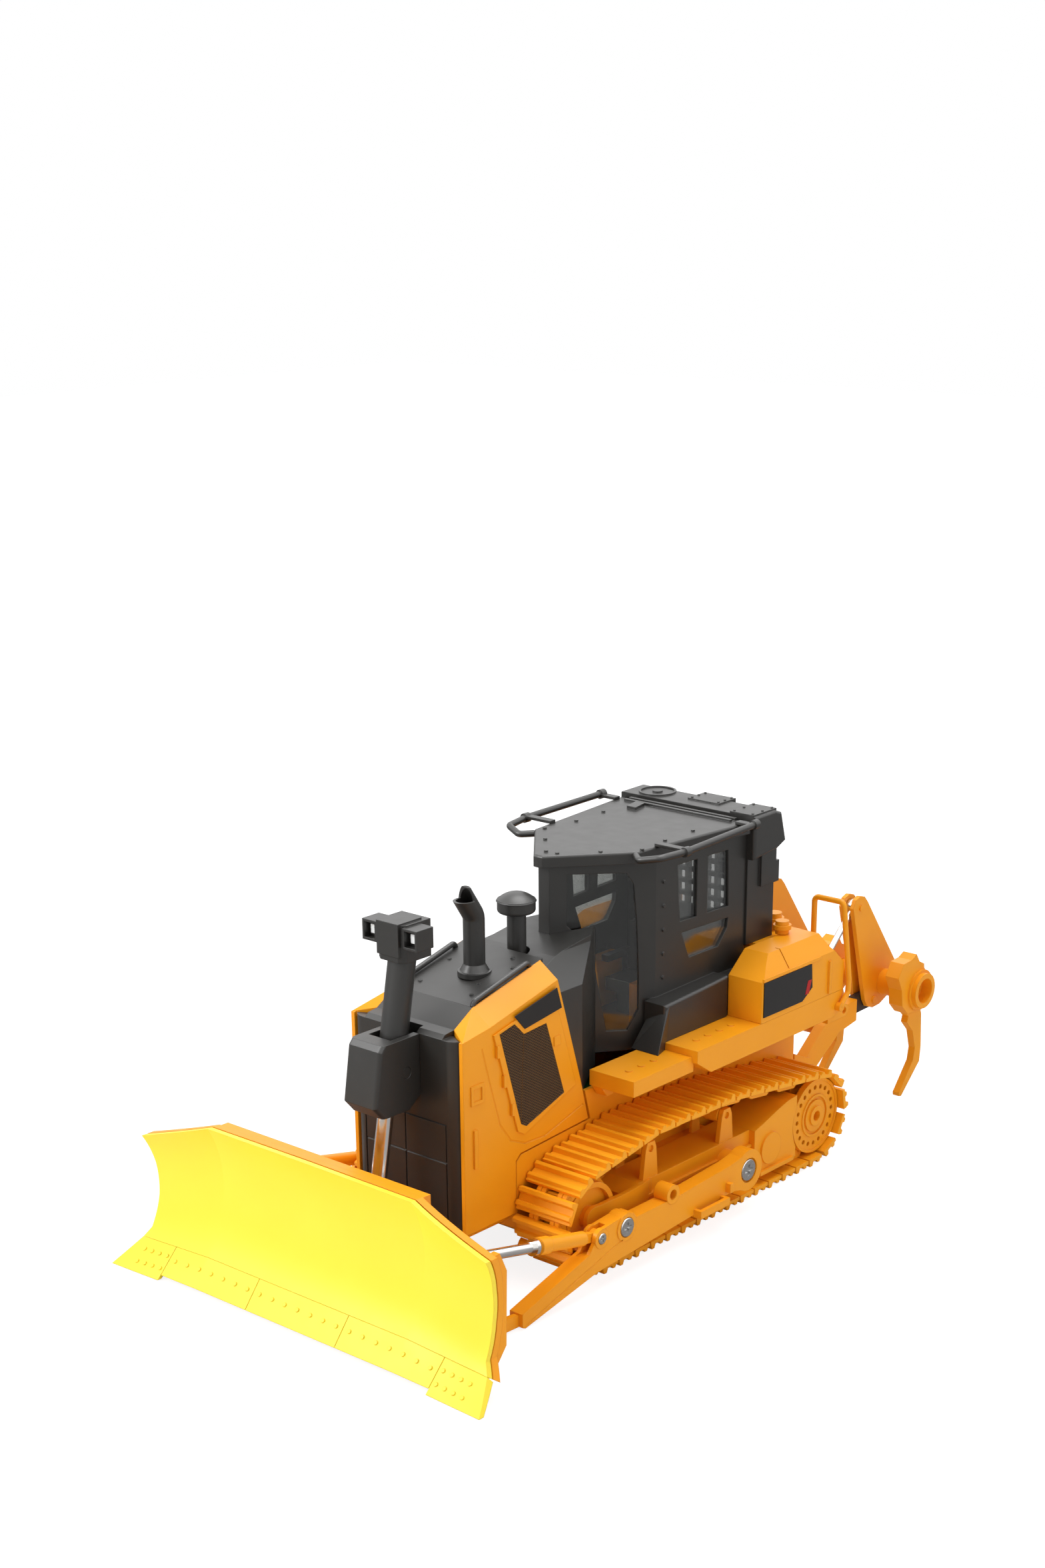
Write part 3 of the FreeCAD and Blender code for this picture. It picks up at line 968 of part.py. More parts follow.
def build_fenders():
    front = prism_x([
        (FENDER_START, 58.8), (FENDER_START, FENDER_FRONT_TOP), (FENDER_STEP_Y + 1, FENDER_FRONT_TOP),
        (FENDER_STEP_Y + 1, 58.8),
    ], HOOD_X + 0.3, FENDER_FRONT_X)
    tooth = prism_x([(-40.0, 59.0), (-36.6, 54.4), (-33.6, 54.4), (-29.6, 59.0)], HOOD_X + 0.3, 31.0)
    step = prism_x([
        (FENDER_STEP_Y, 62.6), (FENDER_STEP_Y, FENDER_TOP), (FENDER_REAR, FENDER_TOP), (FENDER_REAR, 60.0),
        (FENDER_REAR - 5, FENDER_LOW), (FENDER_STEP_Y + 8.2, FENDER_LOW),
    ], HOOD_X + 0.3, FENDER_X)
    tread = []
    for y in (-33.0, -26.0, -19.0):
        tread.append(drum("z", 1.3, FENDER_FRONT_TOP - 0.3, FENDER_FRONT_TOP + 0.35, 38.0, y))
    for y in (2.0, 9.0, 16.0, 23.0):
        tread.append(drum("z", 1.3, FENDER_TOP - 0.3, FENDER_TOP + 0.35, 41.0, y))
    hanger = box(HOOD_X + 0.3, HOOD_X + 4.0, 60.0, 78.0, 48.5, FENDER_LOW + 1)
    # Lug with a hole at the rear corner
    lug_y, lug_z = FENDER_REAR + 3.2, FENDER_LOW + 0.2
    lug = fuse([
        box(FENDER_X - 3.4, FENDER_X - 1.0, FENDER_REAR - 8, lug_y, lug_z - 2.6, lug_z + 2.6),
        drum("x", 2.6, FENDER_X - 3.4, FENDER_X - 1.0, lug_y, lug_z),
    ]).cut(drum("x", 1.3, FENDER_X - 4, FENDER_X, lug_y, lug_z))
    left = fuse([front, tooth, step, hanger, lug, *tread])
    save("fender_left", left)
    save("fender_right", mirror(left))

    # Side box: shoulders slope in to a ridge, with a raised frame for the panel plate
    top = FENDER_TOP + SEAT
    side = prism_x([
        (BOX_FRONT, top), (BOX_FRONT, BOX_SHOULDER_Z - 1.0), (BOX_FRONT + 9.8, BOX_RIDGE_Z),
        (73.4, BOX_RIDGE_Z),
        (FENDER_REAR - 8.2, BOX_SHOULDER_Z + 1.6), (FENDER_REAR, BOX_SHOULDER_Z - 6), (FENDER_REAR, top),
    ], 20, FENDER_X)
    front_view = prism_y([
        (BOX_IN, top), (FENDER_X, top), (FENDER_X, BOX_SHOULDER_Z), (BOX_RIDGE_X, BOX_RIDGE_Z),
        (BOX_IN, BOX_RIDGE_Z),
    ], BOX_FRONT - 2, FENDER_REAR + 2)
    bin_body = side.common(front_view)
    inner = box(BOX_IN + 2.0, BOX_RIDGE_X - 1.5, BOX_FRONT + 2, FENDER_REAR - 3, top + 2, BOX_SHOULDER_Z - 2)
    lip = prism_x([(31.4, 84.4), (68.0, 84.4), (68.0, 83.2), (31.4, 83.2)], FENDER_X - 0.2, FENDER_X + 0.6)
    grab = box(FENDER_X - 0.3, FENDER_X + 0.9, 73.6, 75.0, 68.0, 81.0)
    seam = box(BOX_RIDGE_X - 2, FENDER_X, 47.8, 48.3, 84.4, 93)
    body = bin_body.cut(inner).cut(seam)
    body = fuse([body, lip, grab])
    save("side_box_left", body)
    save("side_box_right", mirror(body))

    # Rear tank between the boxes, with caps and ribs on its top
    reach = BOX_IN - 0.4
    tank = prism_x([
        (CAB_REAR[1] + 0.4, TUB_TOP + SEAT), (CAB_REAR[1] + 0.4, BOX_RIDGE_Z - 5.0),
        (56.0, BOX_RIDGE_Z - 2.0),
        (FENDER_REAR - 8, BOX_RIDGE_Z - 2.0), (FENDER_REAR, 80.0), (FENDER_REAR, TUB_TOP + SEAT),
    ], -reach, reach)
    ledge = box(TUB_X, reach + 1, CAB_REAR[1], FENDER_REAR + 1, TUB_TOP, FENDER_TOP + SEAT)
    deck = [box(-reach, reach, 52.0, 78.0, BOX_RIDGE_Z - 3.0, BOX_RIDGE_Z - 1.6)]
    for x in (-16, -10, -4, 4, 10, 16):
        deck.append(box(x - 0.7, x + 0.7, 54.0, 74.0, BOX_RIDGE_Z - 2.0, BOX_RIDGE_Z - 0.6))
    hollow = box(-TUB_X + 2, TUB_X - 2, CAB_REAR[1] + 2.6, FENDER_REAR - 3, TUB_TOP - 1, 78)
    caps = []
    for x, y, r, h in ((33.5, 64.6, 2.6, 5.0), (24.6, 72.0, 2.9, 6.4)):
        z0 = BOX_RIDGE_Z + SEAT if x > reach else BOX_RIDGE_Z - 1.6 + SEAT
        collar = drum("z", r + 0.9, z0 + h * 0.35, z0 + h * 0.7, x, y)
        caps.append(fuse([drum("z", r, z0, z0 + h, x, y), collar]))
    tank = fuse([tank.cut(ledge).cut(mirror(ledge)).cut(hollow), *deck])
    save("rear_tank", tank, *caps, *[mirror(c) for c in caps])

    # Rear hand rails: loops that stand behind the side boxes
    loop_y = FENDER_REAR + 1.4
    rail = bent_rod([
        (BOX_IN, FENDER_REAR + 0.2, 75.4), (BOX_IN, loop_y, 79.4), (BOX_IN, loop_y, 101.0),
        (47.0, loop_y, 101.0),
        (50.6, loop_y, 71.0), (50.5, loop_y, 66.0), (50.3, FENDER_REAR - 3.4, 61.0),
    ], 1.1, 2.0)
    foot = drum("x", 1.7, FENDER_X + SEAT, 51.2, FENDER_REAR - 3.4, 61.0)
    rail = fuse([rail, foot]).cut(box(20, FENDER_X + SEAT, FENDER_REAR - 20, FENDER_REAR + SEAT, 50, 120))
    save("rear_rails", rail, mirror(rail))


def wing_share(x):
    return max(0.0, abs(x) - WING_X) / (WING_END - WING_X)


def between(mid, end, x):
    t = wing_share(x)
    return [a + (b - a) * t for a, b in zip(mid, end)]


def edge_point(x, depth, along):
    """A point on the cutting edge at x: along counts down from the moldboard's lower edge."""
    y0, z0 = between(EDGE_TOP_MID, EDGE_TOP_END, x)
    y1, z1 = between(EDGE_LOW_MID, EDGE_LOW_END, x)
    n = math.hypot(y1 - y0, z1 - z0)
    dy, dz = (y1 - y0) / n, (z1 - z0) / n
    return V(x, y0 + dy * along - dz * depth, z0 + dz * along + dy * depth)


def edge_length(x):
    return math.dist(between(EDGE_TOP_MID, EDGE_TOP_END, x), between(EDGE_LOW_MID, EDGE_LOW_END, x))


def blade_arc(x, depth):
    """The moldboard's arc at x, set back by depth: its lower end, middle and upper end."""
    cy, cz, r = between(CURVE_MID, CURVE_END, x)
    ty, tz = between(EDGE_TOP_MID, EDGE_TOP_END, x)
    low = math.atan2(tz - cz, ty - cy)
    high = math.asin((BLADE_TOP_Z + 1 - cz) / r)
    r += depth
    return [V(x, cy + r * math.cos(a), cz + r * math.sin(a)) for a in (low, (low + high) / 2, high)]


def loop(edges):
    return Part.Wire(Part.__sortEdges__(edges))


def line(a, b):
    return Part.LineSegment(a, b).toShape()


def curved_loop(front, back):
    """Outline of a shell that follows the moldboard between two depths."""
    def at(x):
        f, b = blade_arc(x, front), blade_arc(x, back)
        arcs = [Part.Arc(*f).toShape(), Part.Arc(*reversed(b)).toShape()]
        return loop([arcs[0], line(f[2], b[2]), arcs[1], line(b[0], f[0])])
    return at


def ahead_loop(depth):
    """Outline of all the space in front of the moldboard at a depth."""
    def at(x):
        f = blade_arc(x, depth)
        far = CURVE_MID[0] - 20
        corners = [f[2], V(x, far, BLADE_TOP_Z + 20), V(x, far, -20), edge_point(x, depth, 26.0), f[0]]
        return loop([Part.Arc(*f).toShape(), *[line(a, b) for a, b in zip(corners, corners[1:])]])
    return at


def edge_loop(front, back, start, over, tip=1.0):
    """Outline of a flat bar along the cutting edge, thinner towards its tip."""
    def at(x):
        stop = edge_length(x) + over
        pts = [edge_point(x, front, start), edge_point(x, front, stop),
               edge_point(x, front + (back - front) * tip, stop), edge_point(x, back, start)]
        return Part.makePolygon(pts + pts[:1])
    return at


def blade_sweep(outline):
    """Middle section straight across, wings changing evenly towards their ends."""
    centre = sweep(Part.Face(outline(WING_X)), -2 * WING_X, 0, 0)
    wing = Part.makeLoft([outline(WING_X), outline(BLADE_HALF + 2)], True, True)
    wing = wing if wing.Volume > 0 else wing.reversed()
    return [centre, wing, mirror(wing)]


def blade_view():
    return both([
        (0, 2.0), (END_BIT_X, 2.0), (END_BIT_X, 0.5), (BLADE_HALF, 0.3), (WING_END - 0.1, 12.6),
        (WING_END - 0.6, 24.0), (WING_END - 0.1, 36.0), (WING_END + 1.2, 47.4), (WING_X, BLADE_TOP_Z),
        (0, BLADE_TOP_Z + 0.4),
    ])


def build_blade():
    view = prism_y(blade_view(), -200, -120)
    skin = fuse([s.common(view) for s in blade_sweep(curved_loop(0, SKIN_T))])
    save("moldboard", skin)

    # Cutting edge in three segments and two end bits, with their bolt heads
    whole = fuse([s.common(view) for s in blade_sweep(edge_loop(0, EDGE_T, SEAT, 2.0, 0.5))])
    third = END_BIT_X / 3
    cuts = (-BLADE_HALF - 1, -END_BIT_X, -third, third, END_BIT_X, BLADE_HALF + 1)
    pieces = []
    for a, b in zip(cuts, cuts[1:]):
        piece = whole.common(box(a + 0.12, b - 0.12, -200, -120, -10, 40))
        end_bit = abs(a + b) > 100
        lo, hi = max(a, -WING_END), min(b, WING_END)
        bolts = []
        for share, count in ((0.34, 4), (0.74, 4)) if end_bit else ((0.42, 7),):
            for i in range(count):
                x = lo + (hi - lo) * (i + 0.5) / count
                along = edge_length(x) * share
                out = edge_point(x, -1.0, along) - edge_point(x, 0, along)
                bolts.append(Part.makeCylinder(0.75, 1.1, edge_point(x, 0.7, along), out))
        pieces.append(fuse([piece, *bolts]))
    save("cutting_edges", *pieces)

    # Back frame: a shell behind the skin, a bar behind the edge, ribs, end plates and lugs
    back_view = prism_y(blade_view(), -200, -100)
    shell = [s.common(back_view) for s in blade_sweep(curved_loop(SKIN_T, SKIN_T + BACK_T))]
    bar_view = back_view.common(box(3.0 - WING_END, WING_END - 3.0, -200, -100, 0, 80))
    bar = [s.common(bar_view) for s in blade_sweep(edge_loop(EDGE_T, EDGE_T + 3.4, -3.0, -1.5))]
    parts = [*shell, *bar, box(-WING_X, WING_X, -150.6, -145.6, 52.6, 57.6)]
    for x in (-34.0, -17.0, 17.0, 34.0):
        rib = [(-156, 6), (-150.0, 5.0), (-143.2, 20), (-143.0, 46), (-146.5, 57.0), (-152, 55)]
        parts.append(prism_x(rib, x - 1, x + 1))
    for s in (-1, 1):
        plate = [(-164.0, 6.0), (-152.0, 5.4), (-145.0, 14.0), (-144.4, 40.0), (-147.6, 47.0), (-153.0, 46.6)]
        parts.append(prism_x(plate, *sorted((s * (WING_END - 3.6), s * (WING_END - 1.0)))))
        # Ears for the arm's link, the brace and the lift rod
        for x0 in (ARM_IN - 0.3, ARM_OUT - 1.5):
            parts.append(prism_x([(-156.0, 2.2), (-156.0, 10.0), (-133.0, 7.6), (-133.0, 1.6)],
                                 *sorted((s * x0, s * (x0 + 1.8)))))
        for x0 in (ARM_IN - 0.2, ARM_OUT - 1.6):
            parts.append(prism_x([(-152.0, 27.0), (-152.0, 44.0), (-136.4, 37.0), (-136.4, 31.6)],
                                 *sorted((s * x0, s * (x0 + 1.8)))))
        ear = [(-154.0, 8.0), (-150.0, 27.0), (CLEVIS[0] + 1, CLEVIS[1] + 4.0), (CLEVIS[0] + 4.4, CLEVIS[1]),
               (CLEVIS[0] + 1, CLEVIS[1] - 4.0)]
        parts.append(prism_x(ear, *sorted((s * (2.6 + SIDE), s * 5.4))))
    parts.append(drum("x", 1.5, -5.4, 5.4, *CLEVIS))
    frame = fuse(parts)
    for space in blade_sweep(ahead_loop(EDGE_T + SEAT)):
        frame = frame.cut(space)
    save("blade_frame", frame)


def build_arms():
    """Left push arm: rear eye, middle boss, brace joint, fork, front foot and the link to the blade."""
    y, z = PIVOT
    arm = prism_x([
        (y, z + 7.4), (2.6, 22.6), (-27.8, 20.9), (-53.0, 20.9), (-54.6, 23.2), (-61.8, 23.4), (-72.5, 22.6),
        (-78.6, 15.2), (-113.4, 5.8), (-113.4, 0.9), (-112.0, 0.3), (-74.8, 7.2), (-39.5, 9.2),
        (3.0, 11.8), (y, z - 7.4),
    ], ARM_IN, ARM_OUT)
    parts = [arm, drum("x", EYE_R, ARM_IN, ARM_OUT, y, z)]
    boss = [(-32.6, 22.7, 3.6), (-58.6, 19.0, 5.2), (-72.2, 19.4, 3.6)]
    for by, bz, r in boss:
        parts.append(drum("x", r, ARM_IN, ARM_OUT + 0.4, by, bz))
    hook = [
        box(ARM_OUT - 0.5, ARM_OUT + 3.4, -20.0, -18.4, 9.6, 12.4),
        box(ARM_OUT + 1.8, ARM_OUT + 3.4, -20.0, -2.6, 9.6, 12.4),
        box(ARM_OUT - 0.5, ARM_OUT + 3.4, -4.2, -2.6, 9.6, 12.4),
        box(ARM_OUT - 0.5, ARM_OUT + 2.2, -1.0, 1.0, 13.0, 16.6),
    ]
    arm = fuse(parts + hook)
    arm = arm.cut(drum("x", 3.0, ARM_IN, ARM_OUT - 2.6 + SEAT, y, z))
    arm = arm.cut(drum("x", 4.8, ARM_OUT - 1.2, ARM_OUT + 1, y, z))
    arm = arm.cut(drum("x", 1.9, ARM_IN, ARM_OUT + 1, -32.6, 22.7))
    for by, bz, r in boss[1:]:
        arm = arm.cut(drum("x", r - 1.5, ARM_OUT - 0.2, ARM_OUT + 1, by, bz))
    # Engraved seam between the main box and the nose piece
    arm = arm.cut(rod((ARM_OUT + 0.12, -61.0, 15.0), (ARM_OUT + 0.12, -110.6, 1.4), 0.34))
    # Fork slot that takes the brace
    arm = arm.cut(box(ARM_IN + 1.5, ARM_OUT - 1.5, -84.0, -68.4, 14.6, 30.0))
    link = [(-113.4, 0.8), (-113.4, 5.2), (-140.5, 7.6), (-144.0, 5.0), (-140.5, 2.0)]
    link = prism_x(link, ARM_IN + 1.9, ARM_OUT - 1.8)
    arm = fuse([arm, link])
    save("push_arm_left", arm)
    save("push_arm_right", mirror(arm))

    # Brace: an orange tube from the fork and a bright rod on to the blade's back
    mid = (ARM_IN + ARM_OUT) / 2
    a = V(mid, -72.2, 19.4)
    b = V(mid, -139.0, 34.4)
    way = (b - a).normalize()
    tube = Part.makeCylinder(2.6, 24.0, a + way * 7.0, way)
    eye = drum("x", 2.6, ARM_IN + 1.5 + SEAT, ARM_OUT - 1.5 - SEAT, a.y, a.z)
    up = V(0, -way.z, way.y) * 1.7
    far = a + way * 9.0
    neck = prism_x([(p.y, p.z) for p in (a + up, far + up, far - up, a - up)], mid - 1.2, mid + 1.2)
    collar = Part.makeCylinder(3.1, 5.0, a + way * 26.0, way)
    socket = Part.makeCylinder(1.9 + 0.02, 5.2, a + way * 26.0, way)
    tube = fuse([tube, neck, eye, collar]).cut(socket)
    save("brace_tubes", tube, mirror(tube))
    shaft = Part.makeCylinder(1.9, (b - a).Length - 32.4, a + way * 26.6, way)
    flare = Part.makeCylinder(3.0, 1.6, a + way * 32.4, way)
    root = b - way * 7.0
    tongue = [(p.y, p.z) for p in (root + up, b + up, b - up, root - up)]
    fit = drum("x", 2.2, mid - 1.2, mid + 1.2, b.y, b.z)
    bright = fuse([shaft, flare, prism_x(tongue, mid - 1.2, mid + 1.2), fit])
    save("brace_rods", bright, mirror(bright))

    screws = []
    for by, bz, r, depth in ((y, z, 4.2, 1.1), (*boss[1][:2], 3.5, 0.9), (*boss[2][:2], 2.0, 0.9)):
        base = ARM_OUT - 1.2 + SEAT if by == y else ARM_OUT - 0.2 + SEAT
        head = drum("x", r, base, base + depth, by, bz)
        head = soften(head, 0.4, lambda e: abs(e.CenterOfMass.x - base - depth) < 0.01)
        arm_w = r * 0.16
        face, reach = base + depth - 0.5, r * 0.55
        cross = [
            box(face, face + 1.5, by - reach, by + reach, bz - arm_w, bz + arm_w),
            box(face, face + 1.5, by - arm_w, by + arm_w, bz - reach, bz + reach),
        ]
        screws.append(head.cut(cross))
    save("arm_screws", *screws, *[mirror(s) for s in screws])


def build_ripper():
    # Bracket on the tail: a plate with two pairs of ears for the arms and the link cylinders
    py, pz = ARM_PIVOT
    ly, lz = LINK_PIVOT
    back = box(-24.0, 24.0, TUB_REAR + SEAT, TUB_REAR + 1.8, 26.0, 56.0)
    ears = []
    for s in (-1, 1):
        for x0 in (17.2, 24.0):
            a, b = sorted((s * x0, s * (x0 + 1.8)))
            ears.append(prism_x([
                (TUB_REAR + 1, 26.5), (TUB_REAR + 1, 34.0), (py + 2, pz + 4.6), (py + 4.6, pz),
                (py + 2, pz - 4.6), (py - 2, pz - 4.6),
            ], a, b))
        a, b = sorted((s * 13.6, s * 15.2))
        ears.append(prism_x([
            (TUB_REAR + 1, lz - 5), (TUB_REAR + 1, lz + 6), (ly + 2, lz + 4), (ly + 4, lz), (ly + 2, lz - 4),
        ], a, b))
    pins = [drum("x", 1.6, *sorted((s * 17.2, s * 25.8)), py, pz) for s in (-1, 1)]
    pins += [drum("x", 1.5, *sorted((s * 15.0, s * 20.9)), ly, lz) for s in (-1, 1)]
    bracket = fuse([back, *ears, *pins])
    save("ripper_bracket", bracket)

    # Lower arms, bent, joined by a cross tube
    cy, cz = CARRIAGE_LOW
    side = prism_x([
        (py - 3.6, pz + 2.0), (py + 13.0, pz + 15.0), (py + 22.0, pz + 19.4), (cy, cz + 4.0), (cy, cz - 4.0),
        (py + 24.0, pz + 9.4), (py + 4.0, pz - 3.6),
    ], 19.0 + SIDE, 24.0 - SIDE)
    side = fuse([side, drum("x", 4.4, 19.0 + SIDE, 24.0 - SIDE, py, pz)])
    side = side.cut(box(18, 26, cy - KNUCKLE - SEAT, cy + 10, cz - 12, cz + 12))
    link = [(cy - KNUCKLE, cz + 3.4), (cy, cz + 3.6), (cy, cz - 3.6), (cy - KNUCKLE, cz - 3.9)]
    knuckle = fuse([
        drum("x", 3.6, PLATE_IN + PLATE_SIDE + SIDE, PLATE_OUT - SIDE, cy, cz),
        prism_x(link, PLATE_IN + PLATE_SIDE + SIDE, PLATE_OUT - SIDE),
    ])
    arm = side.cut(drum("x", 1.6 + RUN, 15, 28, py, pz))
    knuckle = knuckle.cut(drum("x", 1.6 + RUN, 15, 28, cy, cz))
    cross = drum("x", 3.0, -19.0 - SIDE - 0.5, 19.0 + SIDE + 0.5, py + 17.5, pz + 12.0)
    save("ripper_arms", fuse([arm, mirror(arm), cross]))
    save("ripper_knuckles", knuckle, mirror(knuckle))

    # Carriage: two pairs of triangular plates on pins
    ty, tz = CARRIAGE_TOP
    by, bz = BAR
    outline = [
        (ty - 5.2, tz + 0.6), (ty - 3.6, tz + 4.0), (ty - 0.6, tz + 5.0), (ty + 2.6, tz + 4.2),
        (ty + 5.0, tz + 1.6),
        (by + 12.6, bz + 0.6), (by + 10.0, bz - 4.0), (cy + 4.4, cz - 2.9), (cy - 0.8, cz - 3.2),
        (cy - 4.6, cz - 1.8),
        (cy - 6.8, cz + 1.4),
    ]
    web = [(by - 8, bz + 3), (by - 7, bz + 5), (by - 1.6, bz + 14.6), (by - 0.6, bz + 14.6), (by - 0.6, bz + 3)]
    carriage = [drum("x", BAR_R, -BAR_SPLIT, BAR_SPLIT, by, bz)]
    for s in (-1, 1):
        for lo in (PLATE_IN, PLATE_OUT):
            a, b = sorted((s * lo, s * (lo + PLATE_SIDE)))
            carriage.append(prism_x(outline, a, b))
        a, b = sorted((s * PLATE_IN, s * (PLATE_OUT + PLATE_SIDE + 0.6)))
        carriage.append(drum("x", 1.6, a, b, cy, cz))
        carriage.append(drum("x", 1.2, a, b, ty, tz))
        a, b = sorted((s * (PLATE_IN + PLATE_SIDE - 0.2), s * (PLATE_OUT + 0.2)))
        carriage.append(prism_x(web, a, b))
    save("ripper_carriage", fuse(carriage))

    # Sockets at the bar's ends and one in the middle, each with a stepped crown
    crown = [
        (by - 13.3, bz + 3.0), (by - 16.2, bz + 8.6), (by - 12.6, bz + 14.0), (by - 7.0, bz + 14.4),
        (by - 3.4, bz + 16.0),
        (by - 1.0, bz + 12.4), (by + 2.6, bz + 10.6), (by + 2.8, bz + 9.0), (by + 7.0, bz + 3.0),
        (by + 6.0, bz - 5.0),
        (by, bz - 9.2), (by - 8.0, bz - 8.4), (by - 12.4, bz - 4.0),
    ]
    sockets = []
    for x in (-SHANK_X, SHANK_X):
        s = 1 if x > 0 else -1
        body = prism_x(crown, x - SOCKET_T / 2, x + SOCKET_T / 2)
        flange = drum("x", 8.6, *sorted((s * (SHANK_X + 2.0), s * (SHANK_X + 4.0))), by, bz)
        tube = drum("x", 7.3, *sorted((s * (SHANK_X + 3.8), s * (SHANK_X + 6.0))), by, bz)
        arm = drum("x", BAR_R, *sorted((s * (BAR_SPLIT + SEAT), s * SHANK_X)), by, bz)
        piece = fuse([body, flange, tube, arm])
        sockets.append(piece.cut(drum("x", 5.2, *sorted((s * (SHANK_X + 1.0), s * (SHANK_X + 7.0))), by, bz)))
    middle = prism_x(crown, -SOCKET_T / 2, SOCKET_T / 2).cut(drum("x", BAR_R + SEAT, -6, 6, by, bz))
    save("ripper_sockets", *sockets, middle)

    shank_side = [
        (by - 5.5, bz - 6.0), (by + 3.5, bz - 7.6), (by + 5.2, bz - 12.0), (by + 6.2, bz - 26.5),
        (by + 5.6, bz - 33.0),
        (by - 7.0, bz - 44.9), (by - 8.6, bz - 44.6), (by - 8.9, bz - 43.2), (by + 0.6, bz - 31.6),
        (by + 1.6, bz - 26.1), (by - 0.8, bz - 18.0), (by - 5.4, bz - 13.2), (by - 4.6, bz - 10.6),
        (by - 7.5, bz - 8.0),
    ]
    room = fuse([prism_x(crown, -3, 3), drum("x", BAR_R, -3, 3, by, bz)])
    shank = prism_x(shank_side, -SHANK_T / 2, SHANK_T / 2).cut(room)
    shanks = []
    for x in (-SHANK_X, 0.0, SHANK_X):
        moved = shank.copy()
        moved.translate(V(x, 0, -SEAT))
        shanks.append(moved)
    save("ripper_shanks", *shanks)

    # Upper link cylinders: black tubes on the bracket, bright rods with eyes at the carriage
    way = V(0, ty - ly, tz - lz).normalize()
    tubes, rods = [], []
    for s in (-1, 1):
        start, stop = V(s * LINK_X, ly, lz), V(s * LINK_X, ty, tz)
        eye = drum("x", 3.4, *sorted((s * (15.2 + SIDE), s * 20.8)), ly, lz)
        tube = fuse([eye, Part.makeCylinder(2.9, 27.0, start + way * 2.0, way)])
        tube = tube.cut(Part.makeCylinder(LINK_ROD_R + RUN, 26.0, start + way * 4.5, way))
        tubes.append(tube.cut(drum("x", 1.5 + RUN, *sorted((s * 14, s * 22)), ly, lz)))
        shaft = Part.makeCylinder(LINK_ROD_R, (stop - start).Length - 10.5, start + way * 8.0, way)
        end = drum("x", 3.2, *sorted((s * (PLATE_IN + PLATE_SIDE + SIDE), s * (PLATE_OUT - SIDE))), ty, tz)
        hole = drum("x", 2.0, *sorted((s * 15, s * 26)), ty, tz)
        rods.append(fuse([shaft.cut(hole), end.cut(hole)]))
    save("link_tubes", *tubes)
    save("link_rods", *rods)


def build_decals():
    """Thin bare plates where the printed panels sit."""
    plates = []
    for s in (-1, 1):
        a, b = sorted((s * (HOOD_X + 0.75 + SEAT), s * (HOOD_X + 1.05)))
        plates.append(prism_x([(-81.0, 95.4), (-58.9, 100.0), (-56.4, 92.2), (-75.8, 89.6)], a, b))
        a, b = sorted((s * (FENDER_X + SEAT), s * (FENDER_X + 0.4)))
        plates.append(prism_x([(32.0, 82.8), (62.2, 82.8), (63.0, 73.4), (56.6, 69.4), (32.0, 69.4)], a, b))
    save("decal_plates", *plates)


build_tracks()
roller_z = build_wheels()
build_frames(roller_z)
build_tub()
build_hood()
build_radiator()
build_hood_top()
build_hood_details()
build_nose_block()
build_cab()
build_roof()
build_fenders()
build_blade()
build_arms()
build_ripper()
build_decals()
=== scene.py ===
# %% [markdown]
# # Toy bulldozer
# This notebook dresses the imported model of a toy bulldozer. The solids already stand in the right place, so
# each cell either gives a node its finish or adds a small piece that rides on a node. The first cell loads
# the model.

# %% Load the model
import json
import math

import bpy
from mathutils import Matrix, Vector


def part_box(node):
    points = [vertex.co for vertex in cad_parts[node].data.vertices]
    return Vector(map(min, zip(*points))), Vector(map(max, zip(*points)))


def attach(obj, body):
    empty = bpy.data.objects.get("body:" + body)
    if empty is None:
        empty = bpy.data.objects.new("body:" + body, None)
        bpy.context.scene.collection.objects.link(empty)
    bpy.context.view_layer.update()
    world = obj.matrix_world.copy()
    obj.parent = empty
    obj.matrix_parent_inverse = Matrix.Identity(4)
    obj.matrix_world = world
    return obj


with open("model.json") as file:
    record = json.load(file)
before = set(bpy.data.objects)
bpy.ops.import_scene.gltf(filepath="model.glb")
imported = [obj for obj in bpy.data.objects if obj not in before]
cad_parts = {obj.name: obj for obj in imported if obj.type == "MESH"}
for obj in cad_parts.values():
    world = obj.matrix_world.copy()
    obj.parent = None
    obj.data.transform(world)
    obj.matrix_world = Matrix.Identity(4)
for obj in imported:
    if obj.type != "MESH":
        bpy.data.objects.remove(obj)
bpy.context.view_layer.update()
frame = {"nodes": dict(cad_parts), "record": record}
nodes = frame["nodes"]
MM = 0.001

# %% [markdown]
# ## Finishes
# The toy is moulded in plastic that is coloured right through, so no paint wears off. What gives such
# plastic away is how it meets the light: a thin soft highlight along every edge, a faint waviness in large
# faces, and a fine grain that breaks the reflection. All of it can be worked out from the object's own
# coordinates, so nothing slides when the view changes. One helper builds this for every moulded colour;
# metal, clear and printed parts have their own.

# %% Helpers for node materials


def new_material(name):
    """A node material with only a Principled shader and its output."""
    material = bpy.data.materials.new(name)
    material.use_nodes = True
    tree = material.node_tree
    shader = tree.nodes["Principled BSDF"]
    return material, tree, shader


def place(tree, scale=(1, 1, 1)):
    """Object coordinates through a Mapping node."""
    coords = tree.nodes.new("ShaderNodeTexCoord")
    mapping = tree.nodes.new("ShaderNodeMapping")
    mapping.inputs["Scale"].default_value = scale
    tree.links.new(coords.outputs["Object"], mapping.inputs["Vector"])
    return mapping.outputs["Vector"]


def noise(tree, vector, scale, detail=2.0, roughness=0.5):
    node = tree.nodes.new("ShaderNodeTexNoise")
    node.inputs["Scale"].default_value = scale
    node.inputs["Detail"].default_value = detail
    node.inputs["Roughness"].default_value = roughness
    tree.links.new(vector, node.inputs["Vector"])
    return node.outputs["Fac"]


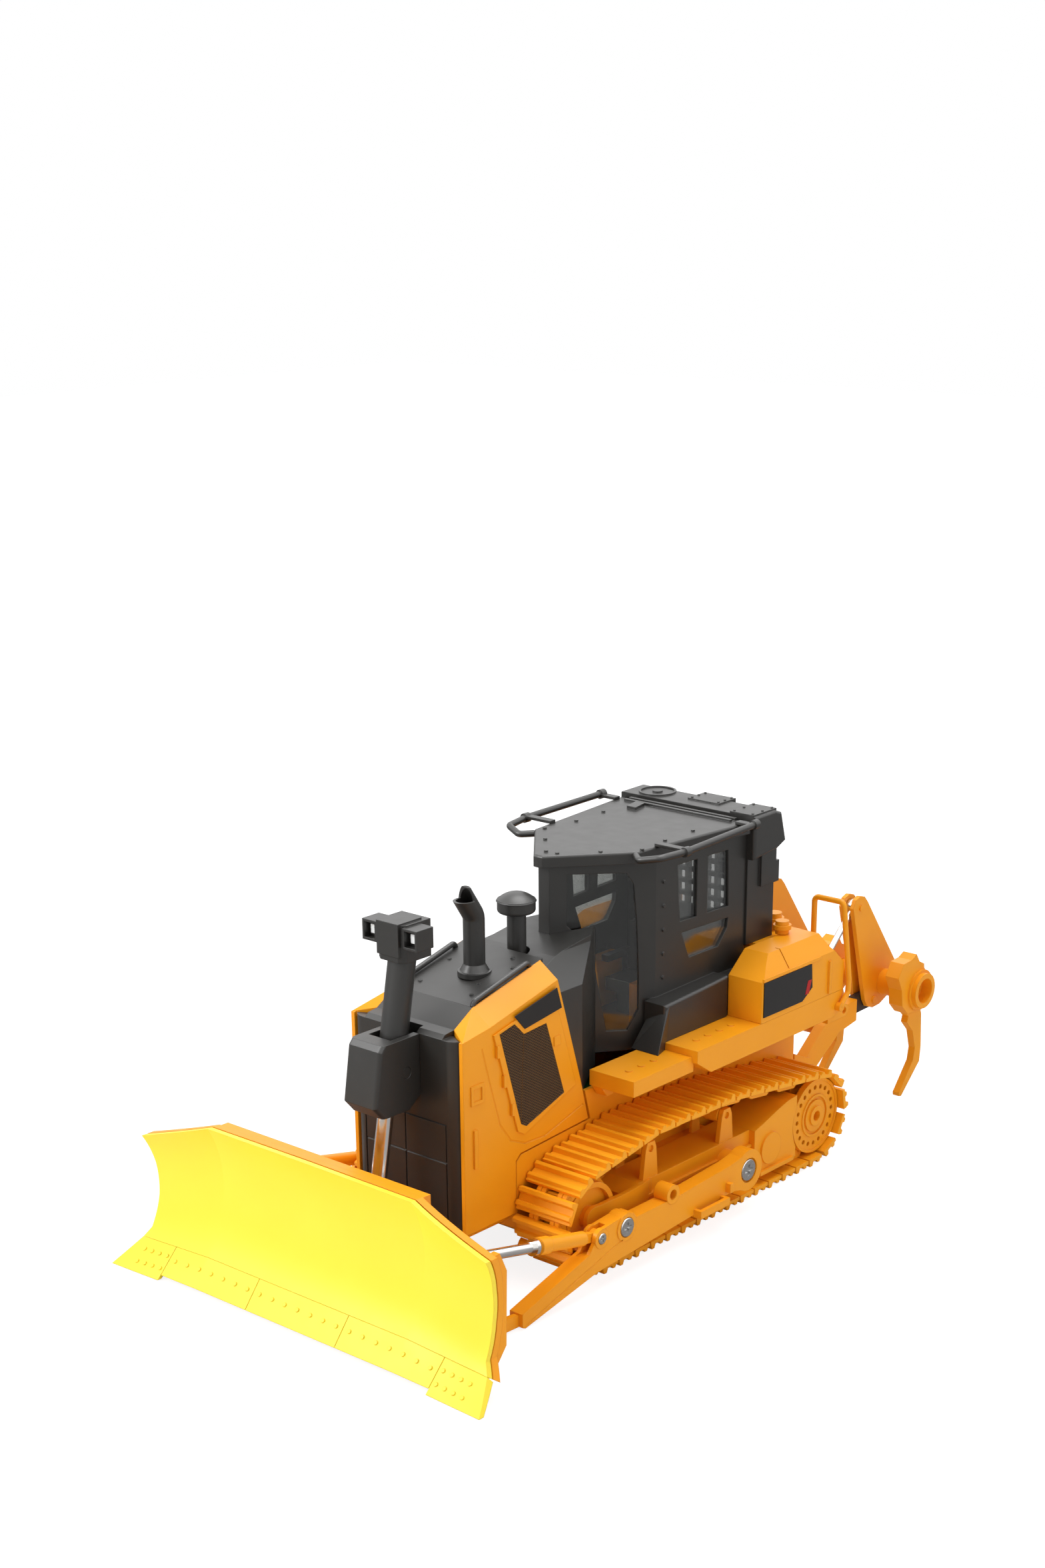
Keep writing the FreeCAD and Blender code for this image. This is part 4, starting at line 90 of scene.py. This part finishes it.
def spread(tree, value, low, high):
    """Maps a value from 0..1 to low..high."""
    node = tree.nodes.new("ShaderNodeMapRange")
    node.inputs["To Min"].default_value = low
    node.inputs["To Max"].default_value = high
    tree.links.new(value, node.inputs["Value"])
    return node.outputs["Result"]


def mix_colour(tree, share, first, second):
    """Two colours, or sockets, mixed by a share that is a number or a socket."""
    node = tree.nodes.new("ShaderNodeMix")
    node.data_type = "RGBA"
    for socket, value in ((node.inputs[0], share), (node.inputs[6], first), (node.inputs[7], second)):
        if hasattr(value, "is_linked"):
            tree.links.new(value, socket)
        else:
            socket.default_value = value
    return node.outputs[2]


def bumped(tree, height, strength, distance, normal=None):
    node = tree.nodes.new("ShaderNodeBump")
    node.inputs["Strength"].default_value = strength
    node.inputs["Distance"].default_value = distance
    tree.links.new(height, node.inputs["Height"])
    if normal is not None:
        tree.links.new(normal, node.inputs["Normal"])
    return node.outputs["Normal"]


print("helpers ready")

# %% [markdown]
# The moulded plastic: a base colour with a slow drift towards a darker and a lighter tone, dirt-free but
# not dead even; roughness that drifts with another noise; and a bump in two sizes, the slow sink of a thick
# wall and the fine grain of the mould. A Bevel node rounds the shading of the sharp edges that the solids
# have, so every edge catches a line of light as a moulded edge does.

# %% Moulded plastic


def moulded(name, tone, dark, light, roughness, grain=0.12, edge=0.35, sheen_scale=45.0, ior=1.34):
    """Plastic that is coloured right through: tone is the base, dark and light its slow drift."""
    material, tree, shader = new_material(name)
    vector = place(tree)
    slow = noise(tree, vector, sheen_scale, 3.0)
    fine = noise(tree, vector, 2600.0, 2.0)
    colour = mix_colour(tree, spread(tree, slow, 0.0, 1.0), dark, light)
    colour = mix_colour(tree, 0.55, colour, tone)
    tree.links.new(colour, shader.inputs["Base Color"])
    rough = spread(tree, noise(tree, vector, 160.0, 4.0), roughness - 0.06, roughness + 0.06)
    tree.links.new(rough, shader.inputs["Roughness"])
    bevel = tree.nodes.new("ShaderNodeBevel")
    bevel.samples = 4
    bevel.inputs["Radius"].default_value = edge * MM
    normal = bumped(tree, slow, 0.10, 0.4 * MM, bevel.outputs["Normal"])
    normal = bumped(tree, fine, grain, 0.05 * MM, normal)
    tree.links.new(normal, shader.inputs["Normal"])
    shader.inputs["IOR"].default_value = ior
    return material


ORANGE = (0.88, 0.335, 0.008, 1)
orange = moulded("orange_plastic", ORANGE, (0.80, 0.29, 0.005, 1), (0.95, 0.38, 0.012, 1), 0.36)
track_orange = moulded("track_plastic", (0.92, 0.375, 0.008, 1), (0.84, 0.31, 0.005, 1), (0.98, 0.43, 0.012, 1), 0.42)
yellow = moulded("blade_plastic", (0.95, 0.74, 0.05, 1), (0.92, 0.70, 0.04, 1), (0.98, 0.78, 0.06, 1), 0.36)
black = moulded("black_plastic", (0.016, 0.015, 0.013, 1), (0.012, 0.011, 0.010, 1), (0.022, 0.021, 0.019, 1), 0.40, ior=1.62)
inner_grey = moulded("motor_grey", (0.12, 0.12, 0.125, 1), (0.10, 0.10, 0.10, 1), (0.15, 0.15, 0.15, 1), 0.45)
board_green = moulded("board_green", (0.01, 0.09, 0.03, 1), (0.01, 0.07, 0.02, 1), (0.02, 0.12, 0.04, 1), 0.3)
print("moulded finishes ready")

# %% [markdown]
# Bright metal: the lift rod, the brace rods and the ripper's rods are plated, with fine rings from turning.
# The screws are duller, with a brushed grain. Both are metals with little roughness, and a stretched noise
# gives the direction of the grain.

# %% Metals


def metal(name, colour, roughness, rings):
    material, tree, shader = new_material(name)
    vector = place(tree, rings)
    grain = noise(tree, vector, 900.0, 2.0)
    shader.inputs["Metallic"].default_value = 1.0
    tree.links.new(spread(tree, grain, roughness * 0.6, roughness * 1.5), shader.inputs["Roughness"])
    drift = noise(tree, vector, 120.0, 2.0)
    darker = tuple(c * 0.82 for c in colour[:3]) + (1,)
    tree.links.new(mix_colour(tree, drift, darker, colour), shader.inputs["Base Color"])
    tree.links.new(bumped(tree, grain, 0.15, 0.03 * MM), shader.inputs["Normal"])
    return material


bright = metal("plated_rod", (0.80, 0.79, 0.77, 1), 0.16, (0.15, 1, 1))
steel = metal("screw_steel", (0.62, 0.62, 0.61, 1), 0.27, (1, 0.3, 1))
print("metals ready")

# %% [markdown]
# The panes are clear moulded plastic, a little grey and a little wavy. A transparent shader mixed with a
# gloss that grows towards grazing angles keeps the cab's inside visible at few samples, where true
# refraction would turn noisy.

# %% Clear panes and printed panels


def clear_plastic(name, tint, gloss):
    material, tree, shader = new_material(name)
    shader.inputs["Base Color"].default_value = (0.95, 0.96, 0.97, 1)
    shader.inputs["Roughness"].default_value = 0.08
    see = tree.nodes.new("ShaderNodeBsdfTransparent")
    vector = place(tree)
    wave = noise(tree, vector, 60.0, 2.0)
    paler = tuple(min(1, c * 1.06) for c in tint[:3]) + (1,)
    tree.links.new(mix_colour(tree, wave, tint, paler), see.inputs["Color"])
    shine = tree.nodes.new("ShaderNodeBsdfGlossy")
    shine.inputs["Roughness"].default_value = 0.06
    tree.links.new(bumped(tree, wave, 0.2, 0.3 * MM), shine.inputs["Normal"])
    facing = tree.nodes.new("ShaderNodeLayerWeight")
    facing.inputs["Blend"].default_value = 0.25
    share = spread(tree, facing.outputs["Fresnel"], gloss, 0.75)
    mix = tree.nodes.new("ShaderNodeMixShader")
    tree.links.new(share, mix.inputs["Fac"])
    tree.links.new(see.outputs[0], mix.inputs[1])
    tree.links.new(shine.outputs[0], mix.inputs[2])
    tree.links.new(mix.outputs[0], tree.nodes["Material Output"].inputs["Surface"])
    return material


pane = clear_plastic("clear_pane", (0.80, 0.81, 0.80, 1), 0.05)
decal = moulded("printed_panel", (0.022, 0.020, 0.020, 1), (0.018, 0.017, 0.017, 1), (0.028, 0.026, 0.025, 1), 0.30)
print("clear and printed finishes ready")

# %% [markdown]
# ## Finishes onto the nodes
# The record names a material slot for each node, so the finishes go on by slot.

# %% Dress the nodes
finish_of_slot = {
    "body_orange": orange,
    "track_orange": track_orange,
    "blade_yellow": yellow,
    "black": black,
    "mesh_black": black,
    "clear": pane,
    "bright": bright,
    "screw": steel,
    "decal": decal,
    "board": board_green,
    "inner": inner_grey,
}
slot_of_node = {part["node"]: part["material_slot"] for part in frame["record"]["subparts"]}


def dress(obj, material):
    obj.data.materials.clear()
    obj.data.materials.append(material)


for name, node in nodes.items():
    dress(node, finish_of_slot[slot_of_node[name]])
print("dressed", len(nodes), "nodes")

# %% [markdown]
# ## Small pieces
# The solids carry the main shapes. What is left for this file are things that are too fine for them: the
# woven grilles, the lamps' reflectors and the accent on the dark panels. Each is made from a primitive that
# edit-mode operators cut to shape, with nothing else selected, and its place is applied into its mesh.

# %% Modelling helpers


def start_clean():
    if bpy.context.object is not None and bpy.context.object.mode != "OBJECT":
        bpy.ops.object.mode_set(mode="OBJECT")
    bpy.ops.object.select_all(action="DESELECT")


def apply_place():
    bpy.ops.object.transform_apply(location=True, rotation=True, scale=True)


def apply_modifier(piece, kind, **settings):
    modifier = piece.modifiers.new(kind.title(), kind)
    for key, value in settings.items():
        setattr(modifier, key, value)
    bpy.ops.object.modifier_apply(modifier=modifier.name)


def seat_piece(piece, name, material, body):
    """Names a finished piece, dresses it and lets it ride on its body."""
    piece.name = name
    dress(piece, material)
    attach(piece, body)
    return piece


print("modelling helpers ready")

# %% [markdown]
# The engine doors have a grille of expanded metal, with diamond holes about a millimetre wide. A grid
# primitive that is turned by 45 degrees and flattened gives the diamonds, a bisect along each side of the
# opening trims it, and the Wireframe modifier turns its edges into strands. The opening has one inward
# corner, so it is cut as two convex parts.

# %% Woven grilles
mesh_metal = moulded("grille_strands", (0.20, 0.105, 0.04, 1), (0.16, 0.085, 0.034, 1), (0.25, 0.13, 0.05, 1), 0.42)
GRILLE_PARTS = (
    ((-88.4, 91.0), (-80.8, 92.6), (-76.0, 87.8), (-77.9, 55.4)),
    ((-76.0, 87.8), (-64.4, 88.6), (-55.1, 60.4), (-75.2, 53.9), (-77.9, 55.4)),
)
STRAND = 0.34 * MM
CELL = 1.15 * MM
GRID_CELLS = 52
SQUEEZE = 0.62
PROUD = 0.2 * MM


def grille(name, side, outline):
    start_clean()
    centre = [sum(p[i] for p in outline) / len(outline) * MM for i in (0, 1)]
    face_x = side * (max(abs(c[0]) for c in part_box("mesh_grilles")) + PROUD)
    bpy.ops.mesh.primitive_grid_add(
        x_subdivisions=GRID_CELLS, y_subdivisions=GRID_CELLS, size=GRID_CELLS * CELL,
    )
    piece = bpy.context.object
    piece.rotation_euler = (0, 0, math.radians(45))
    bpy.ops.object.transform_apply(rotation=True)
    piece.scale = (SQUEEZE, 1.0, 1.0)
    bpy.ops.object.transform_apply(scale=True)
    piece.rotation_euler = (0, math.radians(90), 0)
    piece.location = (face_x, *centre)
    apply_place()
    bpy.ops.object.mode_set(mode="EDIT")
    for (y0, z0), (y1, z1) in zip(outline, outline[1:] + outline[:1]):
        bpy.ops.mesh.select_all(action="SELECT")
        outward = Vector((0, z0 - z1, y1 - y0)).normalized()
        bpy.ops.mesh.bisect(plane_co=(face_x, y0 * MM, z0 * MM), plane_no=outward, clear_outer=True)
    bpy.ops.object.mode_set(mode="OBJECT")
    apply_modifier(piece, "WIREFRAME", thickness=STRAND, use_even_offset=False)
    return seat_piece(piece, name, mesh_metal, "machine")


for side, word in ((1, "left"), (-1, "right")):
    for number, outline in enumerate(GRILLE_PARTS):
        made = grille(f"grille_{word}_{number}", side, outline)
        print(made.name, len(made.data.polygons), "faces")

# %% [markdown]
# Each lamp is a black recess with a small pale reflector in it. The reflector is a block that is subdivided
# once and gets soft edges from a bevel. It stands just in front of the solid at the back of the recess,
# which is black.

# %% Lamp reflectors
reflector = moulded("lamp_reflector", (0.86, 0.87, 0.86, 1), (0.80, 0.81, 0.80, 1), (0.92, 0.92, 0.92, 1), 0.18)
LAMP_HALF = (1.35, 1.6)
LAMP_DEPTH = 0.6
LAMP_X = 9.2


def lamp_reflector(name, x):
    start_clean()
    low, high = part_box("lamp_lenses")
    place_at = (x, low[1] - 0.35 * MM, (low[2] + high[2]) / 2)
    bpy.ops.mesh.primitive_cube_add(size=1, location=place_at)
    piece = bpy.context.object
    piece.scale = (2 * LAMP_HALF[0] * MM, LAMP_DEPTH * MM, 2 * LAMP_HALF[1] * MM)
    apply_place()
    bpy.ops.object.mode_set(mode="EDIT")
    bpy.ops.mesh.select_all(action="SELECT")
    bpy.ops.mesh.subdivide(number_cuts=1)
    bpy.ops.object.mode_set(mode="OBJECT")
    apply_modifier(piece, "BEVEL", width=0.12 * MM, segments=2)
    return seat_piece(piece, name, reflector, "lift_tube")


for number, x in enumerate((-LAMP_X, LAMP_X)):
    print(lamp_reflector(f"lamp_reflector_{number}", x * MM).name)
dress(nodes["lamp_lenses"], black)

# %% [markdown]
# The dark panels on the side boxes end in a small red accent. It is a plain slanted strip with no
# lettering: a plane that is slanted by moving its upper edge, and thickened.

# %% Panel accents
accent_red = moulded("panel_red", (0.42, 0.012, 0.012, 1), (0.34, 0.010, 0.010, 1), (0.50, 0.02, 0.016, 1), 0.32)
ACCENT_AT = (59.4 * MM, 74.2 * MM)
ACCENT_SIZE = (5.2 * MM, 2.4 * MM)
ACCENT_SLANT = 1.7 * MM


def panel_accent(name, side):
    start_clean()
    low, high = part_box("decal_plates")
    out = (max(abs(low[0]), abs(high[0])) + 0.02 * MM) * side
    bpy.ops.mesh.primitive_plane_add(size=1, rotation=(0, math.radians(90) * side, 0))
    piece = bpy.context.object
    piece.scale = (*ACCENT_SIZE, 1)
    piece.location = (out, *ACCENT_AT)
    apply_place()
    for vertex in piece.data.vertices:
        if vertex.co.z > ACCENT_AT[1]:
            vertex.co.y += ACCENT_SLANT
    apply_modifier(piece, "SOLIDIFY", thickness=0.12 * MM, offset=0)
    return seat_piece(piece, name, accent_red, "machine")


for side, word in ((1, "left"), (-1, "right")):
    print(panel_accent(f"panel_accent_{word}", side).name)

# %% [markdown]
# ## Floor, light and camera
# The toy stands on a white table in front of white. The floor is a plain white surface, lifted to full
# white for the camera so that only the toy's soft shadow darkens it. In reflections it is darker, so that
# the black sides stay black.

# %% Floor
SWEEP = 6.0
TABLE = (0.80, 0.80, 0.80, 1)
SEEN_TABLE = (0.20, 0.20, 0.20, 1)
TABLE_GLOW = 0.86


def white_floor():
    bpy.ops.object.select_all(action="DESELECT")
    bpy.ops.mesh.primitive_plane_add(size=SWEEP, location=(0, 0, 0))
    floor = bpy.context.object
    floor.name = "floor"
    material, tree, shader = new_material("white_table")
    shader.inputs["Roughness"].default_value = 0.6
    path = tree.nodes.new("ShaderNodeLightPath")
    seen = tree.nodes.new("ShaderNodeMath")
    seen.operation = "MAXIMUM"
    tree.links.new(path.outputs["Is Camera Ray"], seen.inputs[0])
    tree.links.new(path.outputs["Is Transmission Ray"], seen.inputs[1])
    dim = tree.nodes.new("ShaderNodeMath")
    dim.operation = "MAXIMUM"
    tree.links.new(seen.outputs[0], dim.inputs[0])
    tree.links.new(path.outputs["Is Glossy Ray"], dim.inputs[1])
    tree.links.new(mix_colour(tree, dim.outputs[0], TABLE, SEEN_TABLE), shader.inputs["Base Color"])
    glow = tree.nodes.new("ShaderNodeEmission")
    tree.links.new(spread(tree, seen.outputs[0], 0.0, TABLE_GLOW), glow.inputs["Strength"])
    both = tree.nodes.new("ShaderNodeAddShader")
    tree.links.new(shader.outputs[0], both.inputs[0])
    tree.links.new(glow.outputs[0], both.inputs[1])
    tree.links.new(both.outputs[0], tree.nodes["Material Output"].inputs["Surface"])
    dress(floor, material)
    return floor


white_floor()
print("floor ready")

# %% World and lamps
WORLD_LIGHT = 0.50
SKY_GLOSS = 1.7
SKY_LOW = 0.5
SKY_RISE = 0.3


def white_world():
    world = bpy.data.worlds.new("studio")
    bpy.context.scene.world = world
    world.use_nodes = True
    tree = world.node_tree
    background = tree.nodes["Background"]
    background.inputs["Color"].default_value = (1, 1, 1, 1)
    path = tree.nodes.new("ShaderNodeLightPath")
    either = tree.nodes.new("ShaderNodeMath")
    either.operation = "MAXIMUM"
    tree.links.new(path.outputs["Is Camera Ray"], either.inputs[0])
    tree.links.new(path.outputs["Is Transmission Ray"], either.inputs[1])
    plain = spread(tree, either.outputs[0], WORLD_LIGHT, 1.0)
    coords = tree.nodes.new("ShaderNodeTexCoord")
    parts = tree.nodes.new("ShaderNodeSeparateXYZ")
    tree.links.new(coords.outputs["Generated"], parts.inputs[0])
    sky = tree.nodes.new("ShaderNodeMapRange")
    sky.inputs["From Max"].default_value = SKY_RISE
    sky.inputs["To Min"].default_value = SKY_LOW
    sky.inputs["To Max"].default_value = SKY_GLOSS
    tree.links.new(parts.outputs["Z"], sky.inputs["Value"])
    pick = tree.nodes.new("ShaderNodeMix")
    tree.links.new(path.outputs["Is Glossy Ray"], pick.inputs[0])
    tree.links.new(plain, pick.inputs[2])
    tree.links.new(sky.outputs["Result"], pick.inputs[3])
    tree.links.new(pick.outputs[0], background.inputs["Strength"])


def soft_lamp(name, place_at, target, size, watts):
    data = bpy.data.lights.new(name, "AREA")
    data.shape = "DISK"
    data.size = size
    data.energy = watts
    lamp = bpy.data.objects.new(name, data)
    bpy.context.scene.collection.objects.link(lamp)
    lamp.location = place_at
    lamp.rotation_euler = (Vector(target) - Vector(place_at)).to_track_quat("-Z", "Y").to_euler()
    return lamp


white_world()
soft_lamp("front_key", (-0.75, -1.25, 1.05), (0, -0.05, 0.05), 0.9, 19.0)
soft_lamp("top_soft", (0.05, 0.25, 1.5), (0, 0, 0.05), 1.2, 16.0)
soft_lamp("side_fill", (1.5, 0.1, 0.7), (0, 0, 0.05), 1.2, 3.0)
print("lights ready")

# %% [markdown]
# The camera stands where the photograph was taken, found from the perspective of the blade, the tracks and
# the hood. The picture is a crop from the upper part of the lens, which the vertical shift gives back.

# %% Camera
CAMERA_AT = Vector((0.52991, -0.64683, 0.36115))
YAW, PITCH, ROLL = (math.radians(a) for a in (41.45, 21.32, -0.53))
LENS_MM = 54.617
SHIFT_UP = 0.2008


def photo_camera():
    back = Vector((math.sin(YAW) * math.cos(PITCH), -math.cos(YAW) * math.cos(PITCH), math.sin(PITCH)))
    right = Vector((math.cos(YAW), math.sin(YAW), 0))
    up = back.cross(right)
    side = right * math.cos(ROLL) + up * math.sin(ROLL)
    top = up * math.cos(ROLL) - right * math.sin(ROLL)
    data = bpy.data.cameras.new("camera")
    data.sensor_fit = "VERTICAL"
    data.sensor_height = 36.0
    data.lens = LENS_MM
    data.shift_y = SHIFT_UP
    data.clip_start = 0.01
    camera = bpy.data.objects.new("camera", data)
    bpy.context.scene.collection.objects.link(camera)
    turn = Matrix((side, top, back)).transposed().to_4x4()
    camera.matrix_world = Matrix.Translation(CAMERA_AT) @ turn
    bpy.context.scene.camera = camera


photo_camera()
bpy.context.scene.view_settings.view_transform = "Standard"
print("camera ready")
